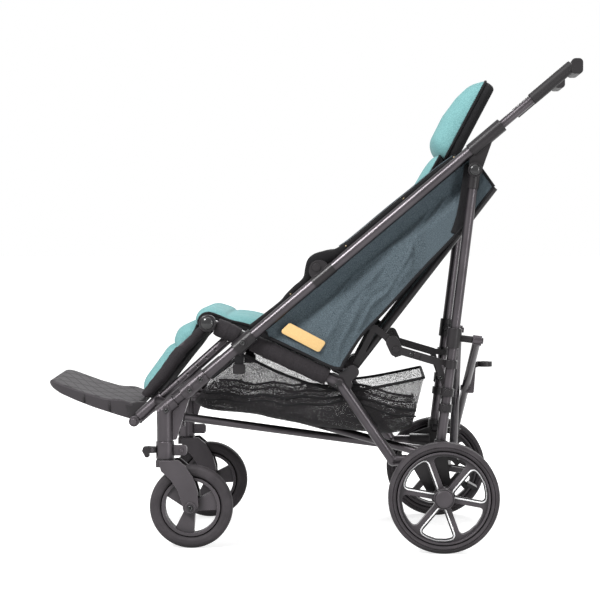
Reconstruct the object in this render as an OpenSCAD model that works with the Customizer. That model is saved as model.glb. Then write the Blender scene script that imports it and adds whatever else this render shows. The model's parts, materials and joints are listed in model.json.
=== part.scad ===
// Special needs buggy: two side frames on an umbrella fold, reclining back, sliding footrest.
// Millimetres, Z up, front toward -X. Side points are [x, z], x from the rear axle, z from the floor.

/* [Wheels] */
// rear wheel outside diameter
rear_d = 250; // [240:1:256]
// rear tyre width
rear_w = 44; // [36:1:50]
// front wheel outside diameter
front_d = 190; // [180:1:196]
// front tyre width
front_w = 34; // [28:1:38]
// caster trail from stem to front axle
trail = 60; // [55:1:66]
// spokes in a rear wheel
rear_spokes = 6; // [5:1:8]

/* [Side frames] */
// main tube and caster plane from the middle
main_y = 235; // [228:1:245]
// main tube diameter
main_d = 25; // [23:1:26]
// seat and leg tube diameter
seat_d = 25; // [23:1:26]
// rear post diameter
post_d = 22; // [19:1:24]
// handle tube diameter
handle_d = 20; // [17:1:22]
// grip sleeve diameter
grip_d = 27; // [25:1:30]
// length of the inward hand grip
grip_len = 95; // [70:1:100]

/* [Brace] */
// rear cross tube diameter
x_d = 20; // [16:1:20]
// lower cross tube diameter
lower_d = 20; // [16:1:20]
// travel of one side frame when folding
fold_travel = 260; // [120:1:262]

/* [Footrest] */
// sliding foot tube diameter
foot_d = 20; // [17:1:21]
// footplate width
plate_w = 258; // [230:1:262]
// footplate wall height
plate_h = 19; // [15:1:24]
// footplate pitch
plate_pitch = 16.4; // [14:0.1:17]

/* [Seat] */
// seat cushion width
seat_w = 312; // [280:1:316]
// seat cushion thickness
seat_t = 48; // [40:1:54]
// back cushion width
back_w = 290; // [260:1:300]
// headrest width
head_w = 280; // [240:1:300]

/* [Hidden] */
$fn = 48;
// overrun of every cut
over = 2;
// gap between bodies on different joints
gap = 0.6;
// gap between fixed pieces of one body
fit = 0.05;
// radial running clearance of pins
run = 0.06;

seat_y = main_y - 30;
foot_y = main_y - 65;
rear_y = main_y + 50;
back_y = main_y - 57;
panel_y = main_y - 15;
calf_y = main_y - 67;

axle_z = rear_d / 2;
front_axle_z = front_d / 2;
stem_x = -633;
front_axle_x = stem_x + trail;

// main diagonal
A = [-452, 470];
diag_deg = 40.2;
function diag(x) = [x, A[1] + tan(diag_deg) * (x - A[0])];
du = [cos(diag_deg), sin(diag_deg)];
dn = [-sin(diag_deg), cos(diag_deg)];
stem_lead = 12;
diag_low = diag(stem_x - stem_lead);
top_x = 130;
diag_top = diag(top_x);
end_x = 286;
handle_end = diag(end_x);
post_x = 70;
post_drop = 51.126;
D = diag(post_x) - [0, post_drop];
C = [-7, 228];
pu = (D - C) / norm(D - C);
pn = [pu[1], -pu[0]];
function post(t, n = 0) = C + pu * t + pn * n;
knee = [-536, 513];
B = [-236, 377];
leg_low = [-113, 199];
leg_end = [-22, 199];
leg_bend = 45;
P = [-207, 401];

// overall length from footplate tip to grip
tip_x = -923;
grip_box = [26, 35];
grip_c = [297, 1092];
shift_x = -(tip_x + grip_c[0] + grip_box[0] / 2) / 2;

function unit2(a, b) = (b - a) / norm(b - a);
function cross2(a, b) = a[0] * b[1] - a[1] * b[0];
function mix2(a, b, s) = a + (b - a) * s;
// polygon with rounded corners, n chords per corner
function rp(pts, r, n = 5) = [
    for (i = [0:len(pts) - 1])
        let (p = pts[i],
            d1 = unit2(p, pts[(i + len(pts) - 1) % len(pts)]),
            d2 = unit2(p, pts[(i + 1) % len(pts)]),
            half = acos(d1 * d2) / 2,
            m = (d1 + d2) / norm(d1 + d2),
            c = p + m * r / sin(half),
            v0 = p + d1 * r / tan(half) - c,
            v1 = p + d2 * r / tan(half) - c,
            a0 = atan2(v0[1], v0[0]),
            turn = atan2(cross2(v0, v1), v0 * v1))
            for (k = [0:n]) c + r * [cos(a0 + turn * k / n), sin(a0 + turn * k / n)]];
// four corners of a bar of width w from a to b
function bar(a, b, w) =
    let (d = unit2(a, b), s = [-d[1], d[0]] * w / 2)
        [a - s, b - s, b + s, a + s];
// four corners of a bar grown past both ends by its half width
function link(a, b, w) = bar(a - unit2(a, b) * w / 2, b + unit2(a, b) * w / 2, w);

// draws an [x, z] outline as a plate of thickness t centred on plane y
module side(y, t) {
    rotate([90, 0, 0])
        translate([0, 0, -y - t / 2])
            linear_extrude(t)
                children();
}
module plate(y, t, pts, r) {
    side(y, t)
        polygon(rp(pts, r));
}
// round pin along y at an [x, z] point
module pin_y(p, y0, y1, r) {
    translate([p[0], min(y0, y1), p[1]])
        rotate([-90, 0, 0])
            cylinder(h = abs(y1 - y0), r = r);
}
module cone_y(p, y0, y1, r0, r1) {
    translate([p[0], y0, p[1]])
        rotate([y1 > y0 ? -90 : 90, 0, 0])
            cylinder(h = abs(y1 - y0), r1 = r0, r2 = r1);
}
module ring_y(p, y0, y1, r, bore) {
    difference() {
        pin_y(p, y0, y1, r);
        pin_y(p, min(y0, y1) - over, max(y0, y1) + over, bore);
    }
}
// round bar between two points in space
module rod(a, b, r) {
    v = b - a;
    translate(a)
        rotate([0, acos(v[2] / norm(v)), atan2(v[1], v[0])])
            cylinder(h = norm(v), r = r);
}
// round bar between two [x, z] points in plane y
module bar_y(a, b, y, r) {
    rod([a[0], y, a[1]], [b[0], y, b[1]], r);
}
// growth of the ball at each bend of a tube
swell = 1.2;
// bent tube through [x, z] points in plane y
module bent(pts, y, r) {
    for (i = [0:len(pts) - 2])
        bar_y(pts[i], pts[i + 1], y, r);
    for (i = [1:1:len(pts) - 2])
        translate([pts[i][0], y, pts[i][1]])
            sphere(r = r + swell);
}
module mirrored() {
    mirror([0, 1, 0])
        children();
}
// lofted soft solid along a path of [x, z, half width, half thickness]
ring_n = 20;
soft_share = 0.5;
function sgnpow(v, p) = sign(v) * pow(abs(v), p);
function soft_ring(path, i) =
    let (a = path[max(i - 1, 0)], b = path[min(i + 1, len(path) - 1)],
        d = unit2([a[0], a[1]], [b[0], b[1]]), n = [-d[1], d[0]], q = path[i])
        [for (k = [0:ring_n - 1])
            let (an = 360 * k / ring_n, z = q[3] * sgnpow(sin(an), soft_share))
                [q[0] + n[0] * z, q[2] * sgnpow(cos(an), soft_share), q[1] + n[1] * z]];
module soft(path) {
    m = len(path);
    pts = [for (i = [0:m - 1]) each soft_ring(path, i)];
    wall = [for (i = [0:m - 2]) for (k = [0:ring_n - 1])
        let (a = i * ring_n + k, b = i * ring_n + (k + 1) % ring_n)
            each [[a, b, b + ring_n], [a, b + ring_n, a + ring_n]]];
    low = [[for (k = [0:ring_n - 1]) ring_n - 1 - k]];
    top = [[for (k = [0:ring_n - 1]) (m - 1) * ring_n + k]];
    polyhedron(points = pts, faces = concat(wall, low, top), convexity = 6);
}
// stations of a padded strip from a to b: rounded ends, channels at the given shares
function dip(s, at, wide) = exp(-pow((s - at) / wide, 2));
function sumdip(s, chans, wide, i = 0) =
    i >= len(chans) ? 0 : dip(s, chans[i], wide) + sumdip(s, chans, wide, i + 1);
function ends(s) = pow(1 - pow(abs(2 * s - 1), 6), 0.25);

// side frame, drawn for the left; the right one is its mirror image
ml = -main_y;
sl = -seat_y;
fl = -foot_y;
bl = -back_y;
cl = -calf_y;
seat_path = [knee, B, leg_low, leg_end];
post_len = norm(D - C);
post_foot = 14;
post_head = 10;
post_low = post(-post_foot);
post_high = post(post_len - post_head);
module tubes(grow = 0, past = 0) {
    bar_y(diag_low - du * past, diag_top, ml, main_d / 2 + grow);
    bar_y(diag_top, handle_end, ml, handle_d / 2 + grow);
    bent(seat_path, sl, seat_d / 2 + grow);
    bar_y(post_low, post_high, ml, post_d / 2 + grow);
}
module main_tube() {
    bar_y(diag_low, diag_top, ml, main_d / 2);
    bar_y(diag_top, handle_end, ml, handle_d / 2);
}
module seat_leg() {
    bent(seat_path, sl, seat_d / 2);
}
module rear_post() {
    bar_y(post_low, post_high, ml, post_d / 2);
}

// grip sleeve start along the tube
grip_x = 197;
grip_round = 9;
function box4(c, s) = [c - s / 2, c + [s[0], -s[1]] / 2, c + s / 2, c + [-s[0], s[1]] / 2];
module handle_grip() {
    difference() {
        union() {
            bar_y(diag(grip_x), handle_end, ml, grip_d / 2);
            plate(ml + (grip_len - grip_d / 2) / 2, grip_len + grip_d / 2, box4(grip_c, grip_box), grip_round);
        }
        bar_y(diag(grip_x - over), handle_end, ml, handle_d / 2 + fit);
    }
}

// joints of the side frame: front block, top bracket, post fittings, recline bracket and guide
block_r = 17;
block_half = 26;
lug_r = 15;
lug_half = 12;
bolt_r = 7;
bolt_h = 4;
seat_dir = unit2(knee, B);
A_seat = knee + seat_dir * ((A - knee) * seat_dir);
sleeve_in = 60;
fin_back = 118;
fin_t = 12;
socket_len = 42;
post_fits = [95, 131];
fit_half = 9;
guide_t = 4.6;
guide_y = -back_y - 17.4;
guide_pt = [-107, 452];
guide_end = [-12, 424];
guide_post = 195;
P_pin_r = 6;
P_in = 10;
p_plate = 14;
hook_x = -271.6;
hook_off = 14.6;
hook_r = 23.5;
hook_t = 15;
hook_half = 29;
hook_sleeve_r = 13.3;
hook_bolt = [10, 8.5];
D_half = 16;
D_r = 16;
D_cap = 9;
module bolt_out(p, y, r = bolt_r) {
    pin_y(p, y - bolt_h, y + bolt_h, r);
}
module frame_joints() {
    difference() {
        union() {
            bar_y(A - du * block_half, A + du * block_half, ml, block_r);
            bar_y(A_seat - seat_dir * block_half, A_seat + seat_dir * block_half, sl, block_r);
            pin_y(A, ml, sl, lug_r);
            bolt_out(A, ml - block_r);
            bar_y(diag(sleeve_in), diag_top, ml, block_r - 1);
            plate(ml, fin_t, [diag(sleeve_in), diag(fin_back), D + pn * lug_r, D - pn * lug_r], lug_half / 2);
            pin_y(D, ml - D_half, ml + lug_half, D_r);
            bolt_out(D, ml - D_half, D_cap);
            bar_y(post(post_len - socket_len), D, ml, post_d / 2 + bolt_h / 2);
            for (t = post_fits) {
                bar_y(post(t - fit_half), post(t + fit_half), ml, lug_r);
                bolt_out(post(t), ml - lug_r);
            }
            plate(sl, p_plate, link(B - seat_dir * lug_r, B + seat_dir * lug_r, 2 * lug_r), lug_half);
            plate(sl, p_plate, link(B, P, 2 * lug_r), lug_half);
            bolt_out(B, sl - seat_d / 2);
            pin_y(P, sl, bl + P_in, P_pin_r);
            pin_y(P, bl + P_in, bl + P_in + bolt_h, P_pin_r + bolt_h);
            plate(guide_y, guide_t, link(guide_pt, guide_end, 2 * bolt_r + bolt_h), bolt_r);
            plate(guide_y, guide_t, link(guide_pt, guide_pt + [-bolt_r, lug_r], 2 * lug_r), lug_half);
            plate(guide_y, guide_t, link(guide_end, post(guide_post), 2 * bolt_r), bolt_r - 1);
            pin_y(post(guide_post), guide_y, ml, bolt_r);
            bar_y(post(guide_post - fit_half), post(guide_post + fit_half), ml, lug_r);
            plate(guide_y, guide_t, link(guide_end, post(post_fits[1]), 2 * bolt_r), bolt_r - 1);
            pin_y(post(post_fits[1]), guide_y, ml, bolt_r);
            bolt_out(guide_pt, guide_y - guide_t / 2);
            bolt_out(mix2(guide_pt, guide_end, soft_share), guide_y - guide_t / 2);
            pin_y(diag(hook_x) + dn * hook_off, ml - hook_t / 2, ml + hook_t / 2, hook_r);
            bar_y(diag(hook_x) - du * hook_half, diag(hook_x) + du * hook_half, ml, hook_sleeve_r);
            bolt_out(diag(hook_x) + dn * (hook_off + hook_bolt[0]), ml - hook_t / 2, hook_bolt[1]);
        }
        tubes(fit, over);
    }
}

// caster bracket with the stem housing, lock collar and foot tube sleeve
foot_deg = 41.7;
foot_top = [-500, 471];
fu = -[cos(foot_deg), sin(foot_deg)];
function foot_at(s) = foot_top + fu * s;
foot_len = 283;
sleeve_low = 268;
sleeve_high = 196;
foot_sleeve_r = 14;
slide_gap = 0.3;
stem_r = 8;
house_r = 19;
house_z = [243, 318];
collar_r = 21;
collar_z = [204.4, 243];
lug_back = [stem_x + 38, 223];
stem_top = 296;
low_sleeves = [[stem_x - stem_lead, stem_x + 23], [stem_x + 41, stem_x + 93]];
low_bolts = [stem_x + 4, stem_x + 57, stem_x + 82];
web_t = 10;
web_low = [stem_x + 26, 247];
web_high = [stem_x + 54, 336];
lower_pin = [stem_x + 29, 309];
lower_sag = 3;
arm_x = stem_x + 8;
lower_step = 12;
lower_y = main_y - 37;
lower_lug_r = 13;
lower_lug_h = 9;
lever_pin = [stem_x - 28, 224];
lever_r = 4;
lever_half = 7;
module stem(z0, z1, r) {
    translate([stem_x, ml, z0])
        cylinder(h = z1 - z0, r = r);
}
module caster_bracket(step) {
    lug_z = lower_pin[1] + step - lower_d / 2 - lower_sag - gap;
    difference() {
        union() {
            for (s = low_sleeves)
                bar_y(diag(s[0]), diag(s[1]), ml, block_r);
            for (x = low_bolts)
                bolt_out(diag(x), ml - block_r);
            stem(house_z[0], house_z[1], house_r);
            stem(collar_z[0], collar_z[1], collar_r);
            plate(ml, web_t, [[stem_x - lug_r, house_z[0] + bolt_h], web_low, web_high, diag(low_bolts[2]),
                diag(low_bolts[0])], bolt_h);
            plate(ml, web_t, link([stem_x, lug_back[1]], lug_back, 2 * lug_half), bolt_r);
            bolt_out(lug_back, ml - web_t / 2, lever_r);
            bar_y(foot_at(sleeve_low), foot_at(sleeve_high), fl, foot_sleeve_r);
            rod([foot_at(sleeve_high + lug_r)[0], fl, foot_at(sleeve_high + lug_r)[1]],
                [diag(arm_x)[0], ml, diag(arm_x)[1]], lug_half);
            plate(ml, 2 * lever_half - 2 * gap, link([stem_x, lever_pin[1]], lever_pin, 2 * bolt_r), bolt_r - 1);
            pin_y(lever_pin, ml - lever_half - bolt_h, ml + lever_half + bolt_h, lever_r);
            translate([lower_pin[0], -lower_y, lug_z - lower_lug_h])
                cylinder(h = lower_lug_h, r = lower_lug_r);
            translate([lower_pin[0], -lower_y, lug_z - over])
                cylinder(h = over + lower_d + lower_sag + 2 * gap + bolt_h, r = lever_r);
            pin_y([lower_pin[0], lug_z - lower_lug_h / 2], -lower_y, ml, bolt_h);
        }
        tubes(fit, over);
        stem(collar_z[0] - over, stem_top, stem_r + run);
        bar_y(foot_at(sleeve_low + over), foot_at(sleeve_high - over), fl, foot_d / 2 + slide_gap);
    }
}

// axle bracket: leg socket, post foot, stub axle, brake lug, brace pivot and saddle
axle = [0, axle_z];
axle_r = 8;
boss_r = 21;
boss_y = main_y + 15;
plate_y = (main_y + seat_y) / 2;
x_t = 255;
x_layers = [20.6, 43.6];
x_pin_r = 4;
x_lug_r = 12;
x_y = 215;
lower_end = [-10, 190];
lower_end_y = 165;
saddle_x = [-15, 20];
saddle_w = 40;
saddle_h = 6;
pedal_pin = [36, 160];
pedal_r = 5;
function xpt(t, n, y) = [post(t, n)[0], y, post(t, n)[1]];
module axle_bracket(layer, step) {
    saddle_top = lower_end[1] - step - lower_d / 2 - gap;
    difference() {
        union() {
            bar_y([leg_low[0] + leg_bend, leg_low[1]], [leg_end[0] + bolt_h, leg_end[1]], sl, block_r);
            plate(-plate_y, web_t, [[leg_low[0] + leg_bend, leg_low[1] + lug_r], post(post_foot, lug_half),
                axle + [boss_r, 0], axle - [boss_r, boss_r], [leg_low[0] + leg_bend, leg_low[1] - lug_r]], bolt_r);
            pin_y(axle, -seat_y, -boss_y, boss_r);
            pin_y(axle, -seat_y, -rear_y - rear_w / 2 - bolt_h, axle_r);
            bar_y(post_low, post(post_foot + bolt_r), ml, lug_r);
            bolt_out(C, ml - lug_r);
            rod(xpt(0, 0, ml), xpt(0, 0, -x_y), bolt_r);
            rod(xpt(0, -bolt_h, -x_y), xpt(0, layer - gap, -x_y), x_lug_r - bolt_h);
            rod(xpt(0, layer - gap - over, -x_y), xpt(0, layer + x_d + gap, -x_y), x_pin_r);
            rod(xpt(0, layer + x_d + gap, -x_y), xpt(0, layer + x_d + gap + bolt_h, -x_y), x_pin_r + bolt_h);
            translate([saddle_x[0], -plate_y, saddle_top - saddle_h])
                cube([saddle_x[1] - saddle_x[0], plate_y - lower_end_y + saddle_w / 2, saddle_h]);
            plate(-plate_y, web_t, link(axle, pedal_pin, 2 * lug_half), bolt_r);
            pin_y(pedal_pin, -plate_y, -plate_y + lug_r + bolt_h, pedal_r);
        }
        tubes(fit, over);
    }
}

// knee knob over the seat tube's front end, with the calf pivot
knob_r = 17;
dome_r = 12;
knob_y = 28;
calf_pin_r = 6;
calf_half = 9;
module knee_hub() {
    difference() {
        union() {
            pin_y(knee, sl - knob_y, sl + seat_d / 2 + over, knob_r);
            cone_y(knee, sl - knob_y, sl - knob_y - bolt_h, dome_r, dome_r - over);
            pin_y(knee, sl, cl + calf_half + gap, calf_pin_r);
            pin_y(knee, cl + calf_half + gap, cl + calf_half + gap + over, calf_pin_r + bolt_h);
        }
        tubes(fit, over);
    }
}

// padded fabric wraps on the seat tube
wrap_r = 20;
wrap_gap = 36;
wraps = [[24, norm(A_seat - knee) - wrap_gap], [norm(A_seat - knee) + wrap_gap, norm(B - knee) - wrap_gap]];
module tube_wrap() {
    difference() {
        for (w = wraps)
            bar_y(knee + seat_dir * w[0], knee + seat_dir * w[1], sl, wrap_r);
        bar_y(knee, B, sl, seat_d / 2 + fit);
    }
}

// swivel caster: fork, wheel and lock lever
crown_r = 20;
crown_z = [186, 203.6];
crown_x = [stem_x - 19, stem_x + 21];
blade_t = 7;
wheel_gap = 3;
front_axle = [front_axle_x, front_axle_z];
front_axle_r = 6;
blade_y = front_w / 2 + wheel_gap + blade_t / 2;
// blade outline from the front axle
blade_pts = [[-72, 105], [-28, 108], [-10, 93], [7, 67], [17, 35], [18, 3], [9, -13], [-9, -13], [-19, 9], [-29, 39],
    [-45, 63], [-67, 83]];
blade = [for (p = blade_pts) front_axle + p];
blade_round = 4;
module fork() {
    difference() {
        union() {
            stem(crown_z[0], stem_top - over, stem_r);
            stem(crown_z[0], crown_z[1], crown_r);
            translate([crown_x[0], ml - blade_y, crown_z[0]])
                cube([crown_x[1] - crown_x[0], 2 * blade_y, crown_z[1] - crown_z[0] - over]);
            for (s = [-1, 1]) {
                plate(ml + s * blade_y, blade_t, blade, blade_round);
                pin_y(front_axle, ml + s * blade_y, ml + s * (blade_y + blade_t), dome_r);
            }
            pin_y(front_axle, ml - blade_y, ml + blade_y, front_axle_r);
        }
    }
}
tyre_round = 11;
front_rim_r = 67;
module tyre(p, y, r_out, r_in, w) {
    translate([p[0], y, p[1]])
        rotate([90, 0, 0])
            rotate_extrude($fn = 64)
                polygon(rp([[r_in, -w / 2], [r_out, -w / 2], [r_out, w / 2], [r_in, w / 2]], tyre_round, 4));
}
module front_tyre() {
    tyre(front_axle, ml, front_axle_z, front_rim_r, front_w);
}
front_open_r = 60;
front_hub_r = 18;
front_spokes = 3;
front_spoke_deg = 15;
spoke_in = 20;
spoke_out = 47;
spoke_w = 20;
module front_rim() {
    half = front_w / 2;
    difference() {
        union() {
            translate([front_axle[0], ml, front_axle[1]])
                rotate([90, 0, 0]) {
                    for (i = [0:front_spokes - 1])
                        rotate([0, 0, front_spoke_deg + i * 360 / front_spokes])
                            translate([0, 0, -spoke_w / 2])
                                linear_extrude(spoke_w)
                                    polygon([[0, -spoke_in / 2], [front_open_r + over, -spoke_out / 2],
                                        [front_open_r + over, spoke_out / 2], [0, spoke_in / 2]]);
                    difference() {
                        cylinder(h = front_w - 2 * over, r = front_rim_r - fit, center = true, $fn = 64);
                        cylinder(h = front_w, r = front_open_r, center = true, $fn = 64);
                    }
                }
            pin_y(front_axle, ml - half - over, ml + half + over, front_hub_r);
        }
        pin_y(front_axle, ml - front_w, ml + front_w, front_axle_r + run);
    }
}
lever_pts = [[-8.5, 8], [-21, 7], [-24, -2], [-16, -17], [-8.5, -17]];
module lock_lever() {
    wide = lever_half + over + bolt_h / 2;
    difference() {
        union() {
            for (s = [-1, 1])
                plate(ml + s * (lever_half + over), bolt_h - over / 2, link(lever_pin, lever_pin - [bolt_r, 0], 2 * bolt_r), bolt_h);
            plate(ml, 2 * wide, [for (p = lever_pts) lever_pin + p], over);
        }
        pin_y(lever_pin, ml - 2 * lug_r, ml + 2 * lug_r, lever_r + run);
    }
}

// rear wheel
rear_rim_r = 104;
rear_open_r = 100;
rear_hub_r = 27;
rear_cap_r = 21;
spoke_half = 6.8;
spoke_round = 9;
rim_t = 20;
rim_wall = 5;
open_deg = 20;
trim_w = 3;
trim_t = 1.2;
function ray(r, a) = r * [cos(a), sin(a)];
function opening(grow) =
    let (ro = rear_open_r - rim_wall - over + grow, h = 180 / rear_spokes,
        ao = h - asin((spoke_half - grow) / ro), ri = (spoke_half - grow) / sin(h))
        rp([ray(ri, 0), ray(ro, -ao), ray(ro * 1.01, -ao / 2), ray(ro * 1.02, 0),
            ray(ro * 1.01, ao / 2), ray(ro, ao)], spoke_round + grow, 4);
module at_rear(y) {
    translate([axle[0], y, axle[1]])
        rotate([90, 0, 0])
            children();
}
module rear_tyre() {
    tyre(axle, -rear_y, axle_z, rear_rim_r, rear_w);
}
module rear_rim() {
    difference() {
        union() {
            at_rear(-rear_y) {
                difference() {
                    cylinder(h = rear_w - 2 * over, r = rear_rim_r - fit, center = true, $fn = 64);
                    cylinder(h = rear_w, r = rear_open_r, center = true, $fn = 64);
                }
                difference() {
                    cylinder(h = rim_t, r = rear_open_r + over, center = true, $fn = 64);
                    for (i = [0:rear_spokes - 1])
                        rotate([0, 0, open_deg + i * 360 / rear_spokes])
                            translate([0, 0, -rim_t])
                                linear_extrude(2 * rim_t)
                                    polygon(opening(0));
                }
            }
            pin_y(axle, -rear_y - rear_w / 2 - bolt_r, -rear_y + rear_w / 2 - over, rear_hub_r - bolt_h);
        }
        pin_y(axle, -rear_y - rear_w / 2 - bolt_h - gap, -rear_y + rear_w, axle_r + run);
    }
}
module rear_trim() {
    at_rear(-rear_y)
        for (i = [0:2:rear_spokes - 1])
            rotate([0, 0, open_deg + i * 360 / rear_spokes])
                translate([0, 0, rim_t / 2 + fit])
                    linear_extrude(trim_t)
                        difference() {
                            polygon(opening(trim_w));
                            polygon(opening(0));
                            circle(r = rear_hub_r - bolt_h + gap, $fn = 64);
                        }
}

// sliding foot tube with its row of holes and hinge block
hole_first = 30;
hole_step = 29;
hole_n = 5;
hole_r = 3;
hinge_r = 12;
hinge_half = 14;
hinge_pin_r = 5;
hinge = foot_at(foot_len);
arm_w = 22;
module foot_tube(pinned) {
    difference() {
        union() {
            bar_y(foot_at(0), foot_at(foot_len), fl, foot_d / 2);
            pin_y(hinge, fl - hinge_half, fl + hinge_half, hinge_r);
            pin_y(hinge, fl - hinge_half - bolt_h, fl, bolt_r);
            if (pinned)
                pin_y(hinge, fl, fl + hinge_half + gap + arm_w + gap, hinge_pin_r);
        }
        for (i = [0:hole_n - 1])
            pin_y(foot_at(hole_first + i * hole_step), fl - foot_d, fl + foot_d, hole_r);
    }
}

// footplate: one tray hinged at the left foot tube
plate_tip = [tip_x, 373];
plate_u = [cos(plate_pitch), -sin(plate_pitch)];
plate_n = [sin(plate_pitch), cos(plate_pitch)];
plate_len = 254;
notch = 215.5;
plate_side = 23;
rim_in = 7;
tray_deep = 9;
plate_round = 34;
plate_small = 8;
sole_n = 6;
sole_w = 3;
sole_deep = 1.2;
function on_plate(s, n) = plate_tip + plate_u * s + plate_n * n;
// tilted local frame: x along the plate from the tip, z out of its top
module on_tray() {
    translate([plate_tip[0] + plate_n[0] * plate_h / 2 * tip_lean, 0, plate_tip[1]])
        rotate([0, plate_pitch, 0])
            children();
}
tip_lean = 1;
function tray(grow) = [[-grow, -plate_w / 2 - grow], [-grow, plate_w / 2 + grow],
    [notch + grow, plate_w / 2 + grow], [notch + grow, -plate_w / 2 - grow]];
module footplate() {
    difference() {
        union() {
            on_tray()
                translate([0, 0, -plate_h / 2])
                    difference() {
                        union() {
                            linear_extrude(plate_h)
                                polygon(rp(tray(0), plate_small * 2));
                            linear_extrude(plate_h)
                                polygon(rp([[notch - 2 * plate_round, -plate_w / 2],
                                    [notch - 2 * plate_round, -plate_w / 2 + plate_side],
                                    [plate_len, -plate_w / 2 + plate_side], [plate_len, -plate_w / 2]], plate_small));
                        }
                        translate([0, 0, plate_h - tray_deep])
                            linear_extrude(plate_h)
                                polygon(rp(tray(-rim_in), plate_small));
                        for (i = [1:sole_n])
                            translate([i * notch / (sole_n + 1) - sole_w / 2, -plate_w / 2 + 3 * rim_in, plate_h - tray_deep - sole_deep])
                                cube([sole_w, plate_w - 6 * rim_in, plate_h]);
                    }
            pin_y(hinge, fl + hinge_half + gap, -plate_w / 2, hinge_r - over / 2);
            plate(-plate_w / 2 - web_t / 2 + over, web_t, [hinge - [bolt_r, bolt_r], hinge + [bolt_r, -bolt_r],
                on_plate(plate_len - plate_round, 0), on_plate(notch - plate_round, 0)], bolt_h);
        }
        pin_y(hinge, fl, 0, hinge_pin_r + run);
    }
}

// calf rest side tube
calf_pts = [knee, [-612, 446], [-690, 340]];
calf_d = 14;
calf_pegs = [0.35, 0.8];
peg_r = 4;
calf_w = 300;
module calf_frame() {
    difference() {
        union() {
            bent(calf_pts, cl, calf_d / 2);
            pin_y(knee, cl - calf_half, cl + calf_half, hinge_r);
            for (s = calf_pegs)
                pin_y(mix2(calf_pts[1], calf_pts[2], s), cl, -calf_w / 2 - gap, peg_r);
        }
        pin_y(knee, cl - 2 * calf_half, cl + 2 * calf_half, calf_pin_r + run);
    }
}

// back frame: side tube, pivot eye and toothed recline rack
back_pts = [P, [118, 822]];
back_d = 16;
rack_r = [103, 119];
rack_deg = [18, 70];
rack_t = 5;
rack_y = bl - 11.5;
teeth = 11;
tooth_w = 3.4;
back_pegs = [0.25, 0.55, 0.85];
module back_frame() {
    difference() {
        union() {
            bent(back_pts, bl, back_d / 2);
            pin_y(P, bl - calf_half, bl + calf_half, hinge_r + over);
            translate([P[0], rack_y, P[1]])
                rotate([90, 0, 0])
                    translate([0, 0, -rack_t / 2])
                        linear_extrude(rack_t)
                            intersection() {
                                difference() {
                                    circle(r = rack_r[1], $fn = 96);
                                    circle(r = rack_r[0], $fn = 96);
                                    for (i = [0:teeth - 1])
                                        rotate(rack_deg[0] + 3 + i * 3.2)
                                            translate([rack_r[1], 0])
                                                rotate(45)
                                                    square(tooth_w, center = true);
                                }
                                polygon([[0, 0], ray(2 * rack_r[1], rack_deg[0]), ray(2 * rack_r[1], rack_deg[1])]);
                            }
            plate(rack_y, rack_t, link(P, P + ray(rack_r[0], rack_deg[1] - bolt_r), 2 * bolt_r), bolt_h);
            pin_y(P + ray(rack_r[0] / 2, rack_deg[1] - 2 * bolt_r), rack_y, bl, bolt_h);
            for (s = back_pegs)
                pin_y(mix2(back_pts[0], back_pts[1], s), bl, bl + lug_half, peg_r);
        }
        pin_y(P, bl - 2 * calf_half, bl + 2 * calf_half, P_pin_r + run);
    }
}

// rear cross tubes, their sliding sleeves and the pull ring
x_ball = 12;
function x_mid(n) = (xpt(0, n, -x_y) + xpt(x_t, n, x_y)) / 2;
module x_tube(layer) {
    n = layer + x_d / 2;
    difference() {
        union() {
            rod(xpt(0, n, -x_y), xpt(x_t, n, x_y), x_d / 2 - gap);
            rod(xpt(0, layer, -x_y), xpt(0, layer + x_d, -x_y), x_ball);
            rod(xpt(x_t, layer, x_y), xpt(x_t, layer + x_d, x_y), x_ball);
            rod(xpt(x_t, layer + over, x_y), xpt(x_t, layer + x_d + bolt_h, x_y), bolt_r);
        }
        rod(xpt(0, layer - over, -x_y), xpt(0, layer + x_d + over, -x_y), x_pin_r + run);
    }
}
ring_pivot = [80, 402];
ring_out = 18;
ring_in = 11;
ring_t = 12;
ring_c = [107, 406];
arm_t = 8;
module x_tube_right() {
    layer = x_layers[1];
    mid = x_mid(layer + x_d / 2);
    mirrored()
        x_tube(layer);
    rod(x_mid(layer - over), x_mid(layer + x_d + bolt_h), bolt_r);
    difference() {
        plate(0, arm_t, [[mid[0], mid[2] - lug_half], [mid[0] + x_d, mid[2] - lug_half],
            ring_pivot + [bolt_r, bolt_r], ring_pivot + [-bolt_r, bolt_r]], bolt_h);
        pin_y(ring_pivot, -arm_t, arm_t, lever_r + run);
    }
}
module ring_lever() {
    pin_y(ring_pivot, -arm_t - bolt_h, arm_t + bolt_h, lever_r);
    for (s = [-1, 1])
        plate(s * (arm_t / 2 + gap + bolt_h / 2), bolt_h, link(ring_pivot, ring_c - [ring_out - bolt_h, 0], ring_t), bolt_h);
    translate([ring_c[0], 0, ring_c[1] - ring_t / 2])
        difference() {
            cylinder(h = ring_t, r = ring_out);
            translate([0, 0, -over])
                cylinder(h = ring_t + 2 * over, r = ring_in);
        }
}
slide_half = 22;
slide_r = 16;
module x_sleeve(layer) {
    difference() {
        union() {
            bar_y(post(x_t - slide_half), post(x_t + slide_half), ml, slide_r);
            rod(xpt(x_t, 0, ml), xpt(x_t, 0, -x_y), bolt_r);
            rod(xpt(x_t, -bolt_h, -x_y), xpt(x_t, layer - gap, -x_y), x_lug_r - bolt_h);
        }
        bar_y(post(x_t - 2 * slide_half), post(x_t + 2 * slide_half), ml, post_d / 2 + slide_gap);
    }
}

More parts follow.
